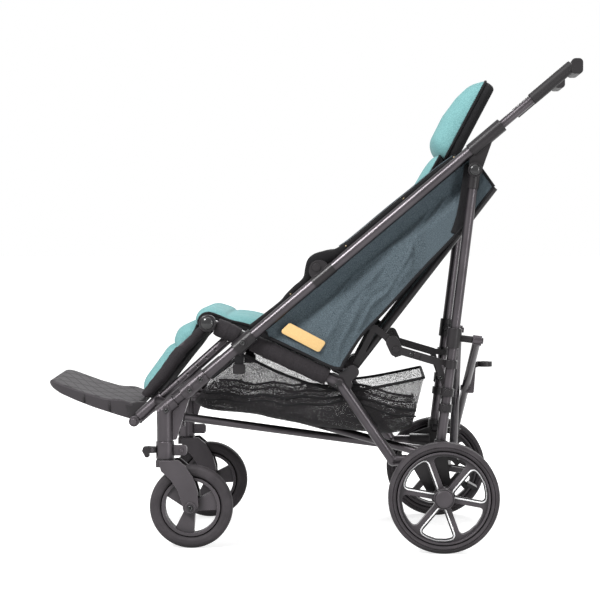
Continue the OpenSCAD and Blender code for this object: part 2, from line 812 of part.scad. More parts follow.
// lower cross tubes, pivoting at the front and lying over open saddles at the back
module lower_tube(step) {
    difference() {
        union() {
            rod([lower_pin[0], -lower_y, lower_pin[1] + step], [lower_end[0], lower_end_y, lower_end[1] + step],
                lower_d / 2 - gap);
            translate([lower_pin[0], -lower_y, lower_pin[1] + step - lower_d / 2 - lower_sag])
                cylinder(h = lower_d + lower_sag, r = lower_lug_r);
        }
        translate([lower_pin[0], -lower_y, lower_pin[1] + step - lower_d])
            cylinder(h = 2 * lower_d, r = lever_r + run);
    }
}

// brake foot pedal
pedal_out = [66, 143];
pedal_w = 46;
pedal_t = 9;
module brake_pedal() {
    difference() {
        union() {
            pin_y(pedal_pin, -plate_y + web_t / 2 + gap, -plate_y + lug_r, hinge_r);
            plate(-plate_y + web_t / 2 + gap + web_t / 2, web_t - gap, link(pedal_pin, pedal_out - [lug_r, 0], 2 * bolt_r), bolt_h);
            plate(-plate_y, pedal_w, link(pedal_out - [bolt_r, -bolt_h], pedal_out + [bolt_r, -bolt_h], pedal_t), bolt_h);
        }
        pin_y(pedal_pin, -plate_y - lug_r, 0, pedal_r + run);
    }
}

// soft goods
lap_share = 0.02;
function strip(a, b, w, t, chans, depth, wide, n) = [
    for (i = [0:n])
        let (s = lap_share + (1 - 2 * lap_share) * i / n, p = mix2(a, b, s))
            [p[0], p[1], w * pow(ends(s), soft_share), t * ends(s) * (1 - depth * sumdip(s, chans, wide))]];
stations = 26;
channel_share = 0.3;
channel_wide = 0.035;
seat_a = [-532, 530];
seat_b = [-298, 427];
seat_chans = [0.34, 0.67];
module seat_cushion() {
    soft(strip(seat_a, seat_b, seat_w / 2, seat_t / 2, seat_chans, channel_share, channel_wide, stations));
}
back_a = [-271, 452];
back_b = [-9, 904];
back_t = 42;
back_chans = [0.2, 0.4, 0.6, 0.8];
module back_cushion() {
    soft(strip(back_a, back_b, back_w / 2, back_t / 2, back_chans, channel_share, channel_wide, stations + 4));
}
head_a = [5, 887];
head_b = [101, 1070];
// crown in front of the seam plane and box behind it, by share of the length
head_front = [[0, 18], [0.04, 33], [0.16, 44], [0.42, 51], [0.69, 44], [0.89, 30], [0.97, 16], [1, 6]];
head_rear = [[0, 4], [0.04, 16], [0.1, 24], [0.27, 27], [0.72, 25], [0.9, 20], [0.97, 12], [1, 2]];
head_n = [-unit2(head_a, head_b)[1], unit2(head_a, head_b)[0]];
module headrest() {
    soft([for (i = [0:stations])
        let (s = i / stations, f = lookup(s, head_front), r = lookup(s, head_rear),
            p = mix2(head_a, head_b, s) + head_n * (f - r) / 2)
            [p[0], p[1], head_w / 2 * pow(ends(lap_share + (1 - 2 * lap_share) * s), soft_share), (f + r) / 2]]);
}
calf_a = [-572, 502];
calf_b = [-688, 350];
calf_t = 30;
calf_chans = [0.32];
module calf_pad() {
    soft(strip(calf_b, calf_a, calf_w / 2 - over, calf_t / 2, [1 - calf_chans[0]], channel_share, 2 * channel_wide, stations));
}
liner_t = 16;
liner_in = main_y - 63;
liner_pts = [[-415, 523], [-30, 862], [-6, 836], [-256, 466], [-322, 472]];
liner_round = 8;
module side_liner() {
    plate(-liner_in, liner_t, liner_pts, liner_round);
}
panel_t = 3;
panel_x = [-405, 32];
panel_pts = [[-396, 478], [-238, 406], [-214, 428], [50, 754], [118, 823], [82, 871], diag(panel_x[1]), diag(panel_x[0])];
panel_round = 5;
module side_panel() {
    plate(-panel_y, panel_t, panel_pts, panel_round);
}
shell_half = main_y - 72;
shell_t = 3;
shell_low = 0.12;
module shell_back() {
    plate(0, 2 * shell_half, bar(mix2(back_pts[0], back_pts[1], shell_low), back_pts[1], shell_t), shell_t / 4);
}
basket_half = main_y - 60;
basket_t = 3;
basket_low = [[-532, 352], [-66, 256]];
basket_top = [[-30, 386], [-120, 374], [-214, 364], [-330, 392], [-455, 444]];
module basket() {
    difference() {
        side(0, 2 * basket_half)
            polygon(concat(basket_low, basket_top));
        side(0, 2 * (basket_half - basket_t))
            polygon(concat([basket_low[0] + [2 * basket_t, basket_t], basket_low[1] + [-basket_t, basket_t]],
                [basket_top[0] + [-basket_t, 0]], [basket_top[0] + [-basket_t, 20 * over]],
                [basket_top[4] + [basket_t, 20 * over]], [basket_top[4] + [basket_t, 0]]));
    }
}

graphite = [0.16, 0.155, 0.16];
black = [0.06, 0.06, 0.065];
teal = [0.45, 0.68, 0.68];
slate = [0.2, 0.29, 0.32];
silver = [0.8, 0.81, 0.82];
module placed(c) {
    translate([shift_x, 0, 0])
        color(c)
            children();
}

placed(graphite) main_tube();  // main_tube_left
placed(graphite) mirrored() main_tube();  // main_tube_right
placed(graphite) seat_leg();  // seat_leg_left
placed(graphite) mirrored() seat_leg();  // seat_leg_right
placed(graphite) rear_post();  // rear_post_left
placed(graphite) mirrored() rear_post();  // rear_post_right
placed(black) handle_grip();  // handle_grip_left
placed(black) mirrored() handle_grip();  // handle_grip_right
placed(black) frame_joints();  // frame_joints_left
placed(black) mirrored() frame_joints();  // frame_joints_right
placed(black) caster_bracket(-lower_step);  // caster_bracket_left
placed(black) mirrored() caster_bracket(lower_step);  // caster_bracket_right
placed(black) axle_bracket(x_layers[0], -lower_step);  // axle_bracket_left
placed(black) mirrored() axle_bracket(x_layers[1], lower_step);  // axle_bracket_right
placed(black) knee_hub();  // knee_hub_left
placed(black) mirrored() knee_hub();  // knee_hub_right
placed(black) tube_wrap();  // tube_wrap_left
placed(black) mirrored() tube_wrap();  // tube_wrap_right
placed(black) fork();  // fork_left
placed(black) mirrored() fork();  // fork_right
placed(black) front_tyre();  // front_tyre_left
placed(black) mirrored() front_tyre();  // front_tyre_right
placed(graphite) front_rim();  // front_rim_left
placed(graphite) mirrored() front_rim();  // front_rim_right
placed(black) lock_lever();  // lock_lever_left
placed(black) mirrored() lock_lever();  // lock_lever_right
placed(black) rear_tyre();  // rear_tyre_left
placed(black) mirrored() rear_tyre();  // rear_tyre_right
placed(graphite) rear_rim();  // rear_rim_left
placed(graphite) mirrored() rear_rim();  // rear_rim_right
placed(silver) rear_trim();  // rear_trim_left
placed(silver) mirrored() rear_trim();  // rear_trim_right
placed(graphite) foot_tube(true);  // foot_tube_left
placed(graphite) mirrored() foot_tube(false);  // foot_tube_right
placed(black) calf_frame();  // calf_frame_left
placed(black) mirrored() calf_frame();  // calf_frame_right
placed(black) back_frame();  // back_frame_left
placed(black) mirrored() back_frame();  // back_frame_right
placed(slate) side_panel();  // side_panel_left
placed(slate) mirrored() side_panel();  // side_panel_right
placed(teal) side_liner();  // side_liner_left
placed(teal) mirrored() side_liner();  // side_liner_right
placed(graphite) x_tube(x_layers[0]);  // x_tube_left
placed(graphite) x_tube_right();
placed(black) x_sleeve(x_layers[1]);  // x_sleeve_left
placed(black) mirrored() x_sleeve(x_layers[0]);  // x_sleeve_right
placed(graphite) lower_tube(-lower_step);  // lower_tube_left
placed(graphite) mirrored() lower_tube(lower_step);  // lower_tube_right
placed(black) brake_pedal();  // brake_pedal_left
placed(black) mirrored() brake_pedal();  // brake_pedal_right
placed(black) footplate();
placed(teal) calf_pad();
placed(teal) seat_cushion();
placed(teal) back_cushion();
placed(teal) headrest();
placed(slate) shell_back();
placed(black) basket();
placed(black) ring_lever();
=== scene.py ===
"""Looks of the special needs buggy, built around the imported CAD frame."""

import json
import math

import bpy
import bmesh
import numpy as np
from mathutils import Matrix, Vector


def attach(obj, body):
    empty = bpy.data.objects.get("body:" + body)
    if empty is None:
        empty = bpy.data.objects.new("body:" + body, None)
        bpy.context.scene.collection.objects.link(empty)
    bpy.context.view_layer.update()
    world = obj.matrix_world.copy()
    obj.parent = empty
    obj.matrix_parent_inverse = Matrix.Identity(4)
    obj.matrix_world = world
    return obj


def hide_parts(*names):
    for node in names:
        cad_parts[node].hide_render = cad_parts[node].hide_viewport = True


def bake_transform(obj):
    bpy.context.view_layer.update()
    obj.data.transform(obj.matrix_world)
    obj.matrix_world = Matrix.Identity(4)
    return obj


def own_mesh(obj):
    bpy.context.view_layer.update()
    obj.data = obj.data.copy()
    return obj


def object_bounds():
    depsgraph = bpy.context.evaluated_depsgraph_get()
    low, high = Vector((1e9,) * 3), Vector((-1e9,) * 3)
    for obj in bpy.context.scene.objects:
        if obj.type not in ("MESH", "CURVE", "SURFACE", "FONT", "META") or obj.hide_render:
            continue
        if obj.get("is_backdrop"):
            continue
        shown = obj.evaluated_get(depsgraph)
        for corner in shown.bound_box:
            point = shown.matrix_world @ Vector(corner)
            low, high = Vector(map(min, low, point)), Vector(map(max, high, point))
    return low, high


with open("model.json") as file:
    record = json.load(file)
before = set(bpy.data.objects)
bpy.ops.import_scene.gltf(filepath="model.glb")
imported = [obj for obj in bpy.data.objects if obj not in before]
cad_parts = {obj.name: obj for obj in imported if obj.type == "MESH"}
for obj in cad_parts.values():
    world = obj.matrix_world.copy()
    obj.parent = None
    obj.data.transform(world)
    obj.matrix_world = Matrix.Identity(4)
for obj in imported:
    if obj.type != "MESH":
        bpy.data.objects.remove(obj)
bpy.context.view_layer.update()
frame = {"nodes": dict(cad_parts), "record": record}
nodes = frame["nodes"]

# Side points are in millimetres from the rear axle, as in the part's source.
SHIFT = 306.5


def pt(x, y, z):
    return Vector(((x + SHIFT) / 1000, y / 1000, z / 1000))


# materials


COAT_ROUGH, SPECULAR = 0.2, 0.26


def shader_of(m):
    return m.node_tree.nodes["Principled BSDF"]


def link(m, out, into):
    m.node_tree.links.new(out, into)


def material(name, color, rough, metal=0.0, coat=0.0):
    m = bpy.data.materials.new(name)
    m.use_nodes = True
    b = shader_of(m)
    b.inputs["Base Color"].default_value = (*color, 1)
    b.inputs["Roughness"].default_value = rough
    b.inputs["Metallic"].default_value = metal
    b.inputs["Coat Weight"].default_value = coat
    b.inputs["Coat Roughness"].default_value = COAT_ROUGH
    b.inputs["Specular IOR Level"].default_value = SPECULAR
    return m


def add(m, kind):
    return m.node_tree.nodes.new(kind)


def bump(m, height, strength, distance):
    b = add(m, "ShaderNodeBump")
    b.inputs["Strength"].default_value = strength
    b.inputs["Distance"].default_value = distance
    link(m, height, b.inputs["Height"])
    link(m, b.outputs["Normal"], shader_of(m).inputs["Normal"])


def noise(m, scale, detail=2.0, stretch=None):
    n = add(m, "ShaderNodeTexNoise")
    n.inputs["Scale"].default_value = scale
    n.inputs["Detail"].default_value = detail
    c = add(m, "ShaderNodeTexCoord")
    if stretch is None:
        link(m, c.outputs["Object"], n.inputs["Vector"])
    else:
        k = add(m, "ShaderNodeMapping")
        k.inputs["Scale"].default_value = stretch
        link(m, c.outputs["Object"], k.inputs["Vector"])
        link(m, k.outputs["Vector"], n.inputs["Vector"])
    return n.outputs["Fac"]


def tint(m, fac, dark, light, low=0.35, high=0.65):
    r = add(m, "ShaderNodeValToRGB")
    r.color_ramp.elements[0].position = low
    r.color_ramp.elements[0].color = (*dark, 1)
    r.color_ramp.elements[1].position = high
    r.color_ramp.elements[1].color = (*light, 1)
    link(m, fac, r.inputs["Fac"])
    link(m, r.outputs["Color"], shader_of(m).inputs["Base Color"])


def fabric(name, dark, light, grain, strength, rough=0.9, sheen=0.25):
    m = material(name, light, rough)
    tint(m, noise(m, grain, 3.0), dark, light)
    bump(m, noise(m, grain * 1.6, 1.0), strength, 0.001)
    b = shader_of(m)
    b.inputs["Sheen Weight"].default_value = sheen
    b.inputs["Sheen Roughness"].default_value = 0.5
    return m


def rough_by(m, fac, low, high):
    r = add(m, "ShaderNodeMapRange")
    r.inputs["To Min"].default_value = low
    r.inputs["To Max"].default_value = high
    link(m, fac, r.inputs["Value"])
    link(m, r.outputs["Result"], shader_of(m).inputs["Roughness"])


def moulded(name, color, rough, grain, strength, metal=0.0, coat=0.0):
    """Plastic or paint: a fine grain, a slow change of tone and of gloss, worn edges and painted shade in the
    corners.
    """
    m = material(name, color, rough, metal, coat)
    slow = noise(m, 14, 3.0)
    tint(m, slow, tuple(c * 0.86 for c in color), tuple(c * 1.12 for c in color))
    rough_by(m, slow, rough - 0.05, rough + 0.07)
    bump(m, noise(m, grain, 2.0), strength, 0.0004)
    soften(m)
    return m


def soften(m, radius=0.0022):
    """Rounded edges in the shading, a paler line on them and painted shade in the hollows."""
    shader = shader_of(m)
    edge = add(m, "ShaderNodeBevel")
    edge.samples = 4
    edge.inputs["Radius"].default_value = radius
    grain = shader.inputs["Normal"].links[0].from_node
    link(m, edge.outputs["Normal"], grain.inputs["Normal"])
    face = add(m, "ShaderNodeNewGeometry")
    dot = add(m, "ShaderNodeVectorMath")
    dot.operation = "DOT_PRODUCT"
    link(m, edge.outputs["Normal"], dot.inputs[0])
    link(m, face.outputs["Normal"], dot.inputs[1])
    worn = math_node(m, "MULTIPLY", math_node(m, "SUBTRACT", 1, dot.outputs["Value"]), 5)
    # painted shade: ambient occlusion darkens the base colour in hollows and corners
    hollow_shade = add(m, "ShaderNodeAmbientOcclusion")
    hollow_shade.samples = 4
    hollow_shade.inputs["Distance"].default_value = 0.03
    level = add(m, "ShaderNodeMapRange")
    level.inputs["From Min"].default_value = 0.25
    level.inputs["To Min"].default_value = 0.12
    link(m, hollow_shade.outputs["AO"], level.inputs["Value"])
    gain = math_node(m, "MULTIPLY", math_node(m, "ADD", 1, worn), level.outputs["Result"])
    scale = add(m, "ShaderNodeVectorMath")
    scale.operation = "SCALE"
    link(m, shader.inputs["Base Color"].links[0].from_socket, scale.inputs[0])
    link(m, gain, scale.inputs["Scale"])
    link(m, scale.outputs["Vector"], shader.inputs["Base Color"])


def math_node(m, kind, a, b=None):
    n = add(m, "ShaderNodeMath")
    n.operation = kind
    for k, v in enumerate((a, b)):
        if v is None:
            continue
        if isinstance(v, (int, float)):
            n.inputs[k].default_value = v
        else:
            link(m, v, n.inputs[k])
    return n.outputs[0]


def tyre(name, color, centre, radius, lugs):
    """Foam tyre: cross lugs on the tread and fine grooves round the wall."""
    m = material(name, color, 0.68)
    tint(m, noise(m, 30, 4.0), tuple(c * 0.82 for c in color), tuple(c * 1.15 for c in color))
    c = add(m, "ShaderNodeTexCoord")
    v = add(m, "ShaderNodeVectorMath")
    v.operation = "SUBTRACT"
    v.inputs[1].default_value = centre
    link(m, c.outputs["Object"], v.inputs[0])
    s = add(m, "ShaderNodeSeparateXYZ")
    link(m, v.outputs["Vector"], s.inputs["Vector"])
    x, y, z = s.outputs
    angle = math_node(m, "ARCTAN2", z, x)
    skew = math_node(m, "MULTIPLY", math_node(m, "ABSOLUTE", y), 22)
    lug = math_node(m, "SINE", math_node(m, "ADD", math_node(m, "MULTIPLY", angle, lugs), skew))
    lug = math_node(m, "GREATER_THAN", lug, 0.25)
    square = math_node(m, "ADD", math_node(m, "MULTIPLY", x, x), math_node(m, "MULTIPLY", z, z))
    r = math_node(m, "SQRT", square)
    tread = math_node(m, "GREATER_THAN", r, radius - 0.0045)
    wall = math_node(m, "SINE", math_node(m, "MULTIPLY", r, 900))
    wall = math_node(m, "MULTIPLY", math_node(m, "GREATER_THAN", wall, 0.7), 0.8)
    keep = math_node(m, "SUBTRACT", 1, tread)
    high = math_node(m, "ADD", math_node(m, "MULTIPLY", lug, tread), math_node(m, "MULTIPLY", wall, keep))
    bump(m, high, 0.55, 0.0012)
    soften(m, 0.003)
    return m


def netting(name, color, cells, thin, thick):
    """Knitted mesh: strands round small open cells, drawn together in slow waves."""
    m = material(name, color, 0.7)
    tint(m, noise(m, 240, 2.0), tuple(c * 0.6 for c in color), tuple(c * 1.9 for c in color))
    c = add(m, "ShaderNodeTexCoord")
    v = add(m, "ShaderNodeTexVoronoi")
    v.feature = "DISTANCE_TO_EDGE"
    v.inputs["Scale"].default_value = cells
    link(m, c.outputs["Object"], v.inputs["Vector"])
    wave = add(m, "ShaderNodeMapRange")
    wave.inputs["From Min"].default_value = 0.28
    wave.inputs["From Max"].default_value = 0.72
    wave.inputs["To Min"].default_value = thin
    wave.inputs["To Max"].default_value = thick
    link(m, noise(m, 26, 3.0, (0.55, 0.55, 1.5)), wave.inputs["Value"])
    strand = math_node(m, "LESS_THAN", v.outputs["Distance"], wave.outputs["Result"])
    link(m, strand, shader_of(m).inputs["Alpha"])
    bump(m, v.outputs["Distance"], 0.5, 0.0008)
    return m


def treaded(name, color):
    """Moulded deck: two families of thin curved grooves that cross, with painted shade in them."""
    m = moulded(name, color, 0.7, 1000, 0.14)
    c = add(m, "ShaderNodeTexCoord")
    s = add(m, "ShaderNodeSeparateXYZ")
    link(m, c.outputs["Object"], s.inputs["Vector"])
    x, y, _ = s.outputs
    groove = None
    for lean, pitch in ((1.6, 17), (-1.3, 14)):
        sway = math_node(m, "MULTIPLY", math_node(m, "SINE", math_node(m, "MULTIPLY", x, 46)), 0.010)
        run = math_node(m, "ADD", math_node(m, "MULTIPLY", x, lean), math_node(m, "ADD", y, sway))
        step = math_node(m, "FRACT", math_node(m, "MULTIPLY", run, pitch))
        off = math_node(m, "ABSOLUTE", math_node(m, "SUBTRACT", step, 0.5))
        line = math_node(m, "LESS_THAN", off, 0.07)
        groove = line if groove is None else math_node(m, "MAXIMUM", groove, line)
    up = add(m, "ShaderNodeSeparateXYZ")
    link(m, c.outputs["Normal"], up.inputs["Vector"])
    groove = math_node(m, "MULTIPLY", groove, math_node(m, "GREATER_THAN", up.outputs["Z"], 0.7))
    # painted shade: the grooves on the top faces are tinted far darker
    tint(m, groove, color, tuple(c * 0.2 for c in color), 0.4, 0.6)
    bump(m, math_node(m, "SUBTRACT", 1, groove), 0.5, 0.0012)
    soften(m)
    return m


MATS = {
    "frame": moulded("frame", (0.062, 0.0553, 0.0608), 0.3, 1500, 0.012, 0.82, 0.15),
    "fitting": moulded("fitting", (0.0165, 0.0146, 0.0161), 0.31, 1100, 0.03),
    "grip": moulded("grip", (0.013, 0.0117, 0.0129), 0.5, 900, 0.04),
    "knob": moulded("knob", (0.012, 0.012, 0.013), 0.16, 1500, 0.02, 0.0, 0.5),
    "wrap": fabric("wrap", (0.004, 0.004, 0.0045), (0.015, 0.0145, 0.016), 700, 0.4, 0.9, 0.0),
    "cover": fabric("cover", (0.010, 0.0086, 0.0098), (0.030, 0.026, 0.0292), 900, 0.4, 0.85, 0.0),
    "tyre": tyre("tyre_rear", (0.043, 0.0380, 0.0418), (0.3065, 0, 0.125), 0.125, 64),
    "rim": moulded("rim", (0.058, 0.0514, 0.0568), 0.30, 1300, 0.03),
    "trim": moulded("trim", (0.80, 0.80, 0.81), 0.3, 1200, 0.03, 0.3),
    "plate": moulded("plate", (0.022, 0.0198, 0.0216), 0.42, 1000, 0.05),
    "deck": treaded("deck", (0.046, 0.0415, 0.0452)),
    "teal": fabric("teal", (0.125, 0.285, 0.295), (0.215, 0.43, 0.435), 520, 0.45, 0.9, 0.08),
    "panel": fabric("panel", (0.023, 0.035, 0.043), (0.112, 0.147, 0.170), 760, 0.6, 0.8, 0.12),
    "net": netting("net", (0.010, 0.0090, 0.0100), 560, 0.10, 0.26),
    "heather": netting("heather", (0.016, 0.0144, 0.0160), 560, 0.05, 0.085),
    "tag": fabric("tag", (0.66, 0.43, 0.185), (0.76, 0.52, 0.235), 480, 0.18, 0.55, 0.0),
    "brass": moulded("brass", (0.40, 0.31, 0.20), 0.35, 900, 0.05, 0.9),
}
FRONT_TYRE = tyre("tyre_front", (0.040, 0.0354, 0.0389), (-0.2665, 0, 0.095), 0.095, 52)

slot_of = {s["node"]: s["material_slot"] for s in frame["record"]["subparts"]}
for name, obj in nodes.items():
    m = FRONT_TYRE if name.startswith("front_tyre") else MATS[slot_of[name]]
    for s in obj.material_slots:
        s.material = m
    if not obj.material_slots:
        obj.data.materials.append(m)


# mesh helpers


def show(name, me, slot, smooth=True):
    """An object for the mesh, with the material of the named slot."""
    if smooth:
        me.polygons.foreach_set("use_smooth", [True] * len(me.polygons))
    o = bpy.data.objects.new(name, me)
    bpy.context.scene.collection.objects.link(o)
    me.materials.append(MATS[slot])
    return o


def piece(name, verts, faces, slot, body=None, smooth=True):
    me = bpy.data.meshes.new(name)
    me.from_pydata([tuple(v) for v in verts], [], faces)
    me.update()
    o = show(name, me, slot, smooth)
    if body:
        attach(o, body)
    return o


def loft(rings, around, closed=False):
    """Faces round a stack of rings, with both ends unless it closes on itself."""
    faces = []
    for i in range(rings if closed else rings - 1):
        a, b = i * around, (i + 1) % rings * around
        faces += [(a + k, a + (k + 1) % around, b + (k + 1) % around, b + k) for k in range(around)]
    if not closed:
        faces += [tuple(range(around))[::-1], tuple(range((rings - 1) * around, rings * around))]
    return faces


def between(a, b, u):
    return a * (1 - u) + b * u


def normals(line):
    """Unit normals of a side path, to the left of its run."""
    d = np.gradient(line, axis=0)
    d /= np.linalg.norm(d, axis=1)[:, None]
    return np.stack([-d[:, 1], d[:, 0]], 1)


# soft goods helpers

TURN = math.radians(40.2)
DU = np.array([math.cos(TURN), math.sin(TURN)])
DN = np.array([-math.sin(TURN), math.cos(TURN)])
FRONT_BLOCK = np.array([-452.0, 470.0])


def on_main(t, n, y):
    """A point t along the main tube from the front block and n above its middle."""
    q = FRONT_BLOCK + DU * t + DN * n
    return pt(q[0], y, q[1])


def smooth_path(points, count):
    """Catmull-Rom through the points, resampled to count stations by length."""
    p = [np.array(q, float) for q in points]
    p = [2 * p[0] - p[1]] + p + [2 * p[-1] - p[-2]]
    fine = []
    for i in range(1, len(p) - 2):
        a, b, c, d = p[i - 1], p[i], p[i + 1], p[i + 2]
        for t in np.linspace(0, 1, 24, endpoint=False):
            fine.append(
                0.5
                * (
                    2 * b
                    + (c - a) * t
                    + (2 * a - 5 * b + 4 * c - d) * t * t
                    + (3 * b - a - 3 * c + d) * t**3
                )
            )
    fine = np.array(fine + [p[-2]])
    run = np.concatenate([[0], np.cumsum(np.linalg.norm(np.diff(fine, axis=0), axis=1))])
    at = np.linspace(0, run[-1], count)
    return np.stack([np.interp(at, run, fine[:, k]) for k in range(fine.shape[1])], 1), run[-1]


def quarter(x):
    x = min(max(x, 0.0), 1.0)
    return math.sqrt(1 - (1 - x) ** 2)


def clean(o):
    bm = bmesh.new()
    bm.from_mesh(o.data)
    bmesh.ops.remove_doubles(bm, verts=bm.verts, dist=1e-5)
    bmesh.ops.dissolve_degenerate(bm, dist=1e-6, edges=bm.edges)
    bmesh.ops.recalc_face_normals(bm, faces=bm.faces)
    bm.to_mesh(o.data)
    bm.free()
    o.data.polygons.foreach_set("use_smooth", [True] * len(o.data.polygons))
    return o


def applied(o):
    """The object's mesh with its modifiers applied."""
    dg = bpy.context.evaluated_depsgraph_get()
    me = bpy.data.meshes.new_from_object(o.evaluated_get(dg))
    o.modifiers.clear()
    o.data = me
    return o


def quads(nu, nv, shift=0, turn=False):
    out = []
    for i in range(nu - 1):
        for j in range(nv - 1):
            a, b = shift + i * nv + j, shift + (i + 1) * nv + j
            out.append((a, b, b + 1, a + 1) if not turn else (a, a + 1, b + 1, b))
    return out


def rim_of(nu, nv):
    r = [(0, j) for j in range(nv)] + [(i, nv - 1) for i in range(1, nu)]
    r += [(nu - 1, j) for j in range(nv - 2, -1, -1)] + [(i, 0) for i in range(nu - 2, 0, -1)]
    return [i * nv + j for i, j in r]


def shell(name, top, low, nu, nv, slot):
    """A closed piece between two grids of the same size."""
    n, rim = nu * nv, rim_of(nu, nv)
    m = len(rim)
    side = [(rim[k], n + rim[k], n + rim[(k + 1) % m], rim[(k + 1) % m]) for k in range(m)]
    o = piece(name, top + low, quads(nu, nv) + quads(nu, nv, n, True) + side, slot)
    return clean(o)


def tube(name, points, radius, slot, closed=False, sides=10):
    """A round tube through points in the row frame."""
    p = [Vector(q) for q in points]
    n = len(p)
    verts = []
    last = None
    for i in range(n):
        a = p[(i - 1) % n] if closed or i else p[0]
        b = p[(i + 1) % n] if closed or i < n - 1 else p[-1]
        d = (b - a).normalized()
        if last is None:
            u = d.cross(Vector((0, 0, 1)) if abs(d.z) < 0.9 else Vector((0, 1, 0))).normalized()
        else:
            u = (last - d * last.dot(d)).normalized()
        last = u
        v = d.cross(u)
        for k in range(sides):
            w = 2 * math.pi * k / sides
            verts.append(p[i] + (u * math.cos(w) + v * math.sin(w)) * radius)
    return piece(name, verts, loft(n, sides, closed), slot)


def loop_tube(name, points, radius, slot):
    """A closed tube with its points thinned to even steps."""
    keep = [points[0]]
    for q in points[1:]:
        if (q - keep[-1]).length > 0.005:
            keep.append(q)
    if (keep[-1] - keep[0]).length < 0.004:
        keep.pop()
    return tube(name, keep, radius, slot, closed=True, sides=8)


def stitch(w):
    """Depth of a sewn line at a distance from it: a sharp nick in a soft valley."""
    return math.exp(-((w / 4.0) ** 2)) * 0.55 + math.exp(-((w / 13.0) ** 2)) * 0.45


def pad(name, points, half_w, crown, boxing, seams=(), cross=(), corner=40, edge=55, flip=1, deep=0.5):
    """A padded cover on a side path: a crowned teal face, black boxing behind it and piping on the edge."""
    ns, nt = 76, 48
    line, length = smooth_path(points, ns)
    normal = normals(line) * flip
    s = np.linspace(0, length, ns)
    d_end = np.minimum(s, length - s)
    c = np.clip(corner - d_end, 0, corner)
    width = half_w - corner + np.sqrt(np.maximum(corner**2 - c**2, 0))
    width = width - 3 * np.sin(np.pi * s / length)
    t = np.sin(np.linspace(-np.pi / 2, np.pi / 2, nt))
    top, mid, low = [], [], []
    for i in range(ns):
        peak = float(np.interp(s[i] / length, crown[0], crown[1]))
        for j in range(nt):
            y = t[j] * width[i]
            d_side = width[i] - abs(y)
            f = quarter(d_side / edge) * quarter((d_end[i] + 0.4) / edge)
            dip = 0.0
            for w in [s[i] - at * length for at in seams] + [y - at * half_w for at in cross]:
                dip += stitch(w)
            pucker = 0.0
            gather = 0.9 * math.sin(y * 0.31 + 1.7 * math.sin(y * 0.05))
            for at in seams:
                w = abs(s[i] - at * length)
                pucker += gather * math.exp(-((w / 15.0) ** 2)) * f
            h = peak * f * (1 - deep * min(dip, 1.0)) + pucker * 0.6
            q = line[i] + normal[i] * h
            top.append(pt(q[0], y, q[1]))
            mid.append(pt(line[i][0], y, line[i][1]))
            k = min(1, quarter((d_side + 3) / 16) * quarter((d_end[i] + 3) / 16))
            q = line[i] - normal[i] * boxing * k
            low.append(pt(q[0], y, q[1]))
    upper = shell(name, top, mid, ns, nt, "teal")
    under = shell(name + "_boxing", mid, low, ns, nt, "wrap")
    ring = loop_tube(name + "_piping", [mid[k] for k in rim_of(ns, nt)], CORD_R, "wrap")
    return upper, under, ring


# radius of the piping and hems, in metres
CORD_R = 0.0034


def fold_flat(keep, *pieces):
    """Gives each soft piece a mesh of its own."""
    for o in pieces:
        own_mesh(o)


def both_sides(y):
    return (("left", -y), ("right", y))


# cushions

PADS = {
    "seat_cushion": (
        "frame_left",
        dict(
            points=[(-560, 500), (-565, 512), (-557, 527), (-541, 533), (-520, 527), (-490, 514.5),
                    (-450, 505), (-400, 486), (-350, 462), (-302, 438)],
            half_w=154,
            crown=([0, 0.2, 0.5, 1], [13, 14.5, 22, 20]),
            boxing=26,
            seams=(0.3, 0.64),
            cross=(-0.55, 0.55),
            corner=26,
            edge=46,
            deep=0.32,
        ),
    ),
    "calf_pad": (
        "calf_left",
        dict(
            points=[(-569, 506), (-573, 493), (-590, 464), (-624, 421), (-676, 354), (-689, 337)],
            half_w=148,
            crown=([0, 0.2, 0.5, 1], [36, 37, 31, 28]),
            boxing=20,
            seams=(0.35,),
            corner=34,
            edge=40,
            flip=-1,
            deep=0.36,
        ),
    ),
    "back_cushion": (
        "back_left",
        dict(
            points=[(-264, 448), (-179, 594), (-93, 742), (-4, 898)],
            half_w=144,
            crown=([0, 0.5, 1], [17, 20, 17]),
            boxing=12,
            seams=(0.2, 0.4, 0.6, 0.8),
            corner=30,
            edge=44,
            deep=0.45,
        ),
    ),
    "headrest": (
        "back_left",
        dict(
            points=[(5, 887), (37, 948), (69, 1009), (101, 1070)],
            half_w=139,
            crown=([0, 0.2, 0.45, 0.7, 0.9, 1], [48, 50, 51, 43, 29, 18]),
            boxing=26,
            seams=(),
            cross=(-0.6, 0.6),
            corner=36,
            edge=42,
            deep=0.35,
        ),
    ),
}
FOLDED = {"seat_cushion": 0.155, "calf_pad": 0.115, "back_cushion": 0.22, "headrest": 0.22}
for node, (body, shape) in PADS.items():
    upper, under, ring = pad(node + "_cover", **shape)
    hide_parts(node)
    for o in (upper, under, ring):
        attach(o, body)
    fold_flat(FOLDED[node], upper, under, ring)


def slab(name, outline, y, half, slot, round_by=5.0):
    """A padded plate: an outline drawn out along Y, with rounded edges."""
    bm = bmesh.new()
    n = len(outline)
    a = [bm.verts.new(pt(x, y - half, z)) for x, z in outline]
    b = [bm.verts.new(pt(x, y + half, z)) for x, z in outline]
    bm.faces.new(a)
    bm.faces.new(b[::-1])
    for k in range(n):
        bm.faces.new((a[k], b[k], b[(k + 1) % n], a[(k + 1) % n]))
    bmesh.ops.recalc_face_normals(bm, faces=bm.faces)
    edges, offset = list(bm.edges), round_by / 1000
    bmesh.ops.bevel(
        bm, geom=edges, offset=offset, segments=4, profile=0.5, affect="EDGES", clamp_overlap=True
    )
    me = bpy.data.meshes.new(name)
    bm.to_mesh(me)
    bm.free()
    return show(name, me, slot)


LINER = [(-400, 512), (-34, 838), (-8, 828), (-252, 470), (-322, 474)]
for side, y in both_sides(172):
    o = slab("liner_" + side, LINER, y, 8, "teal", 6)
    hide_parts("side_liner_" + side)
    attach(o, "back_" + side)

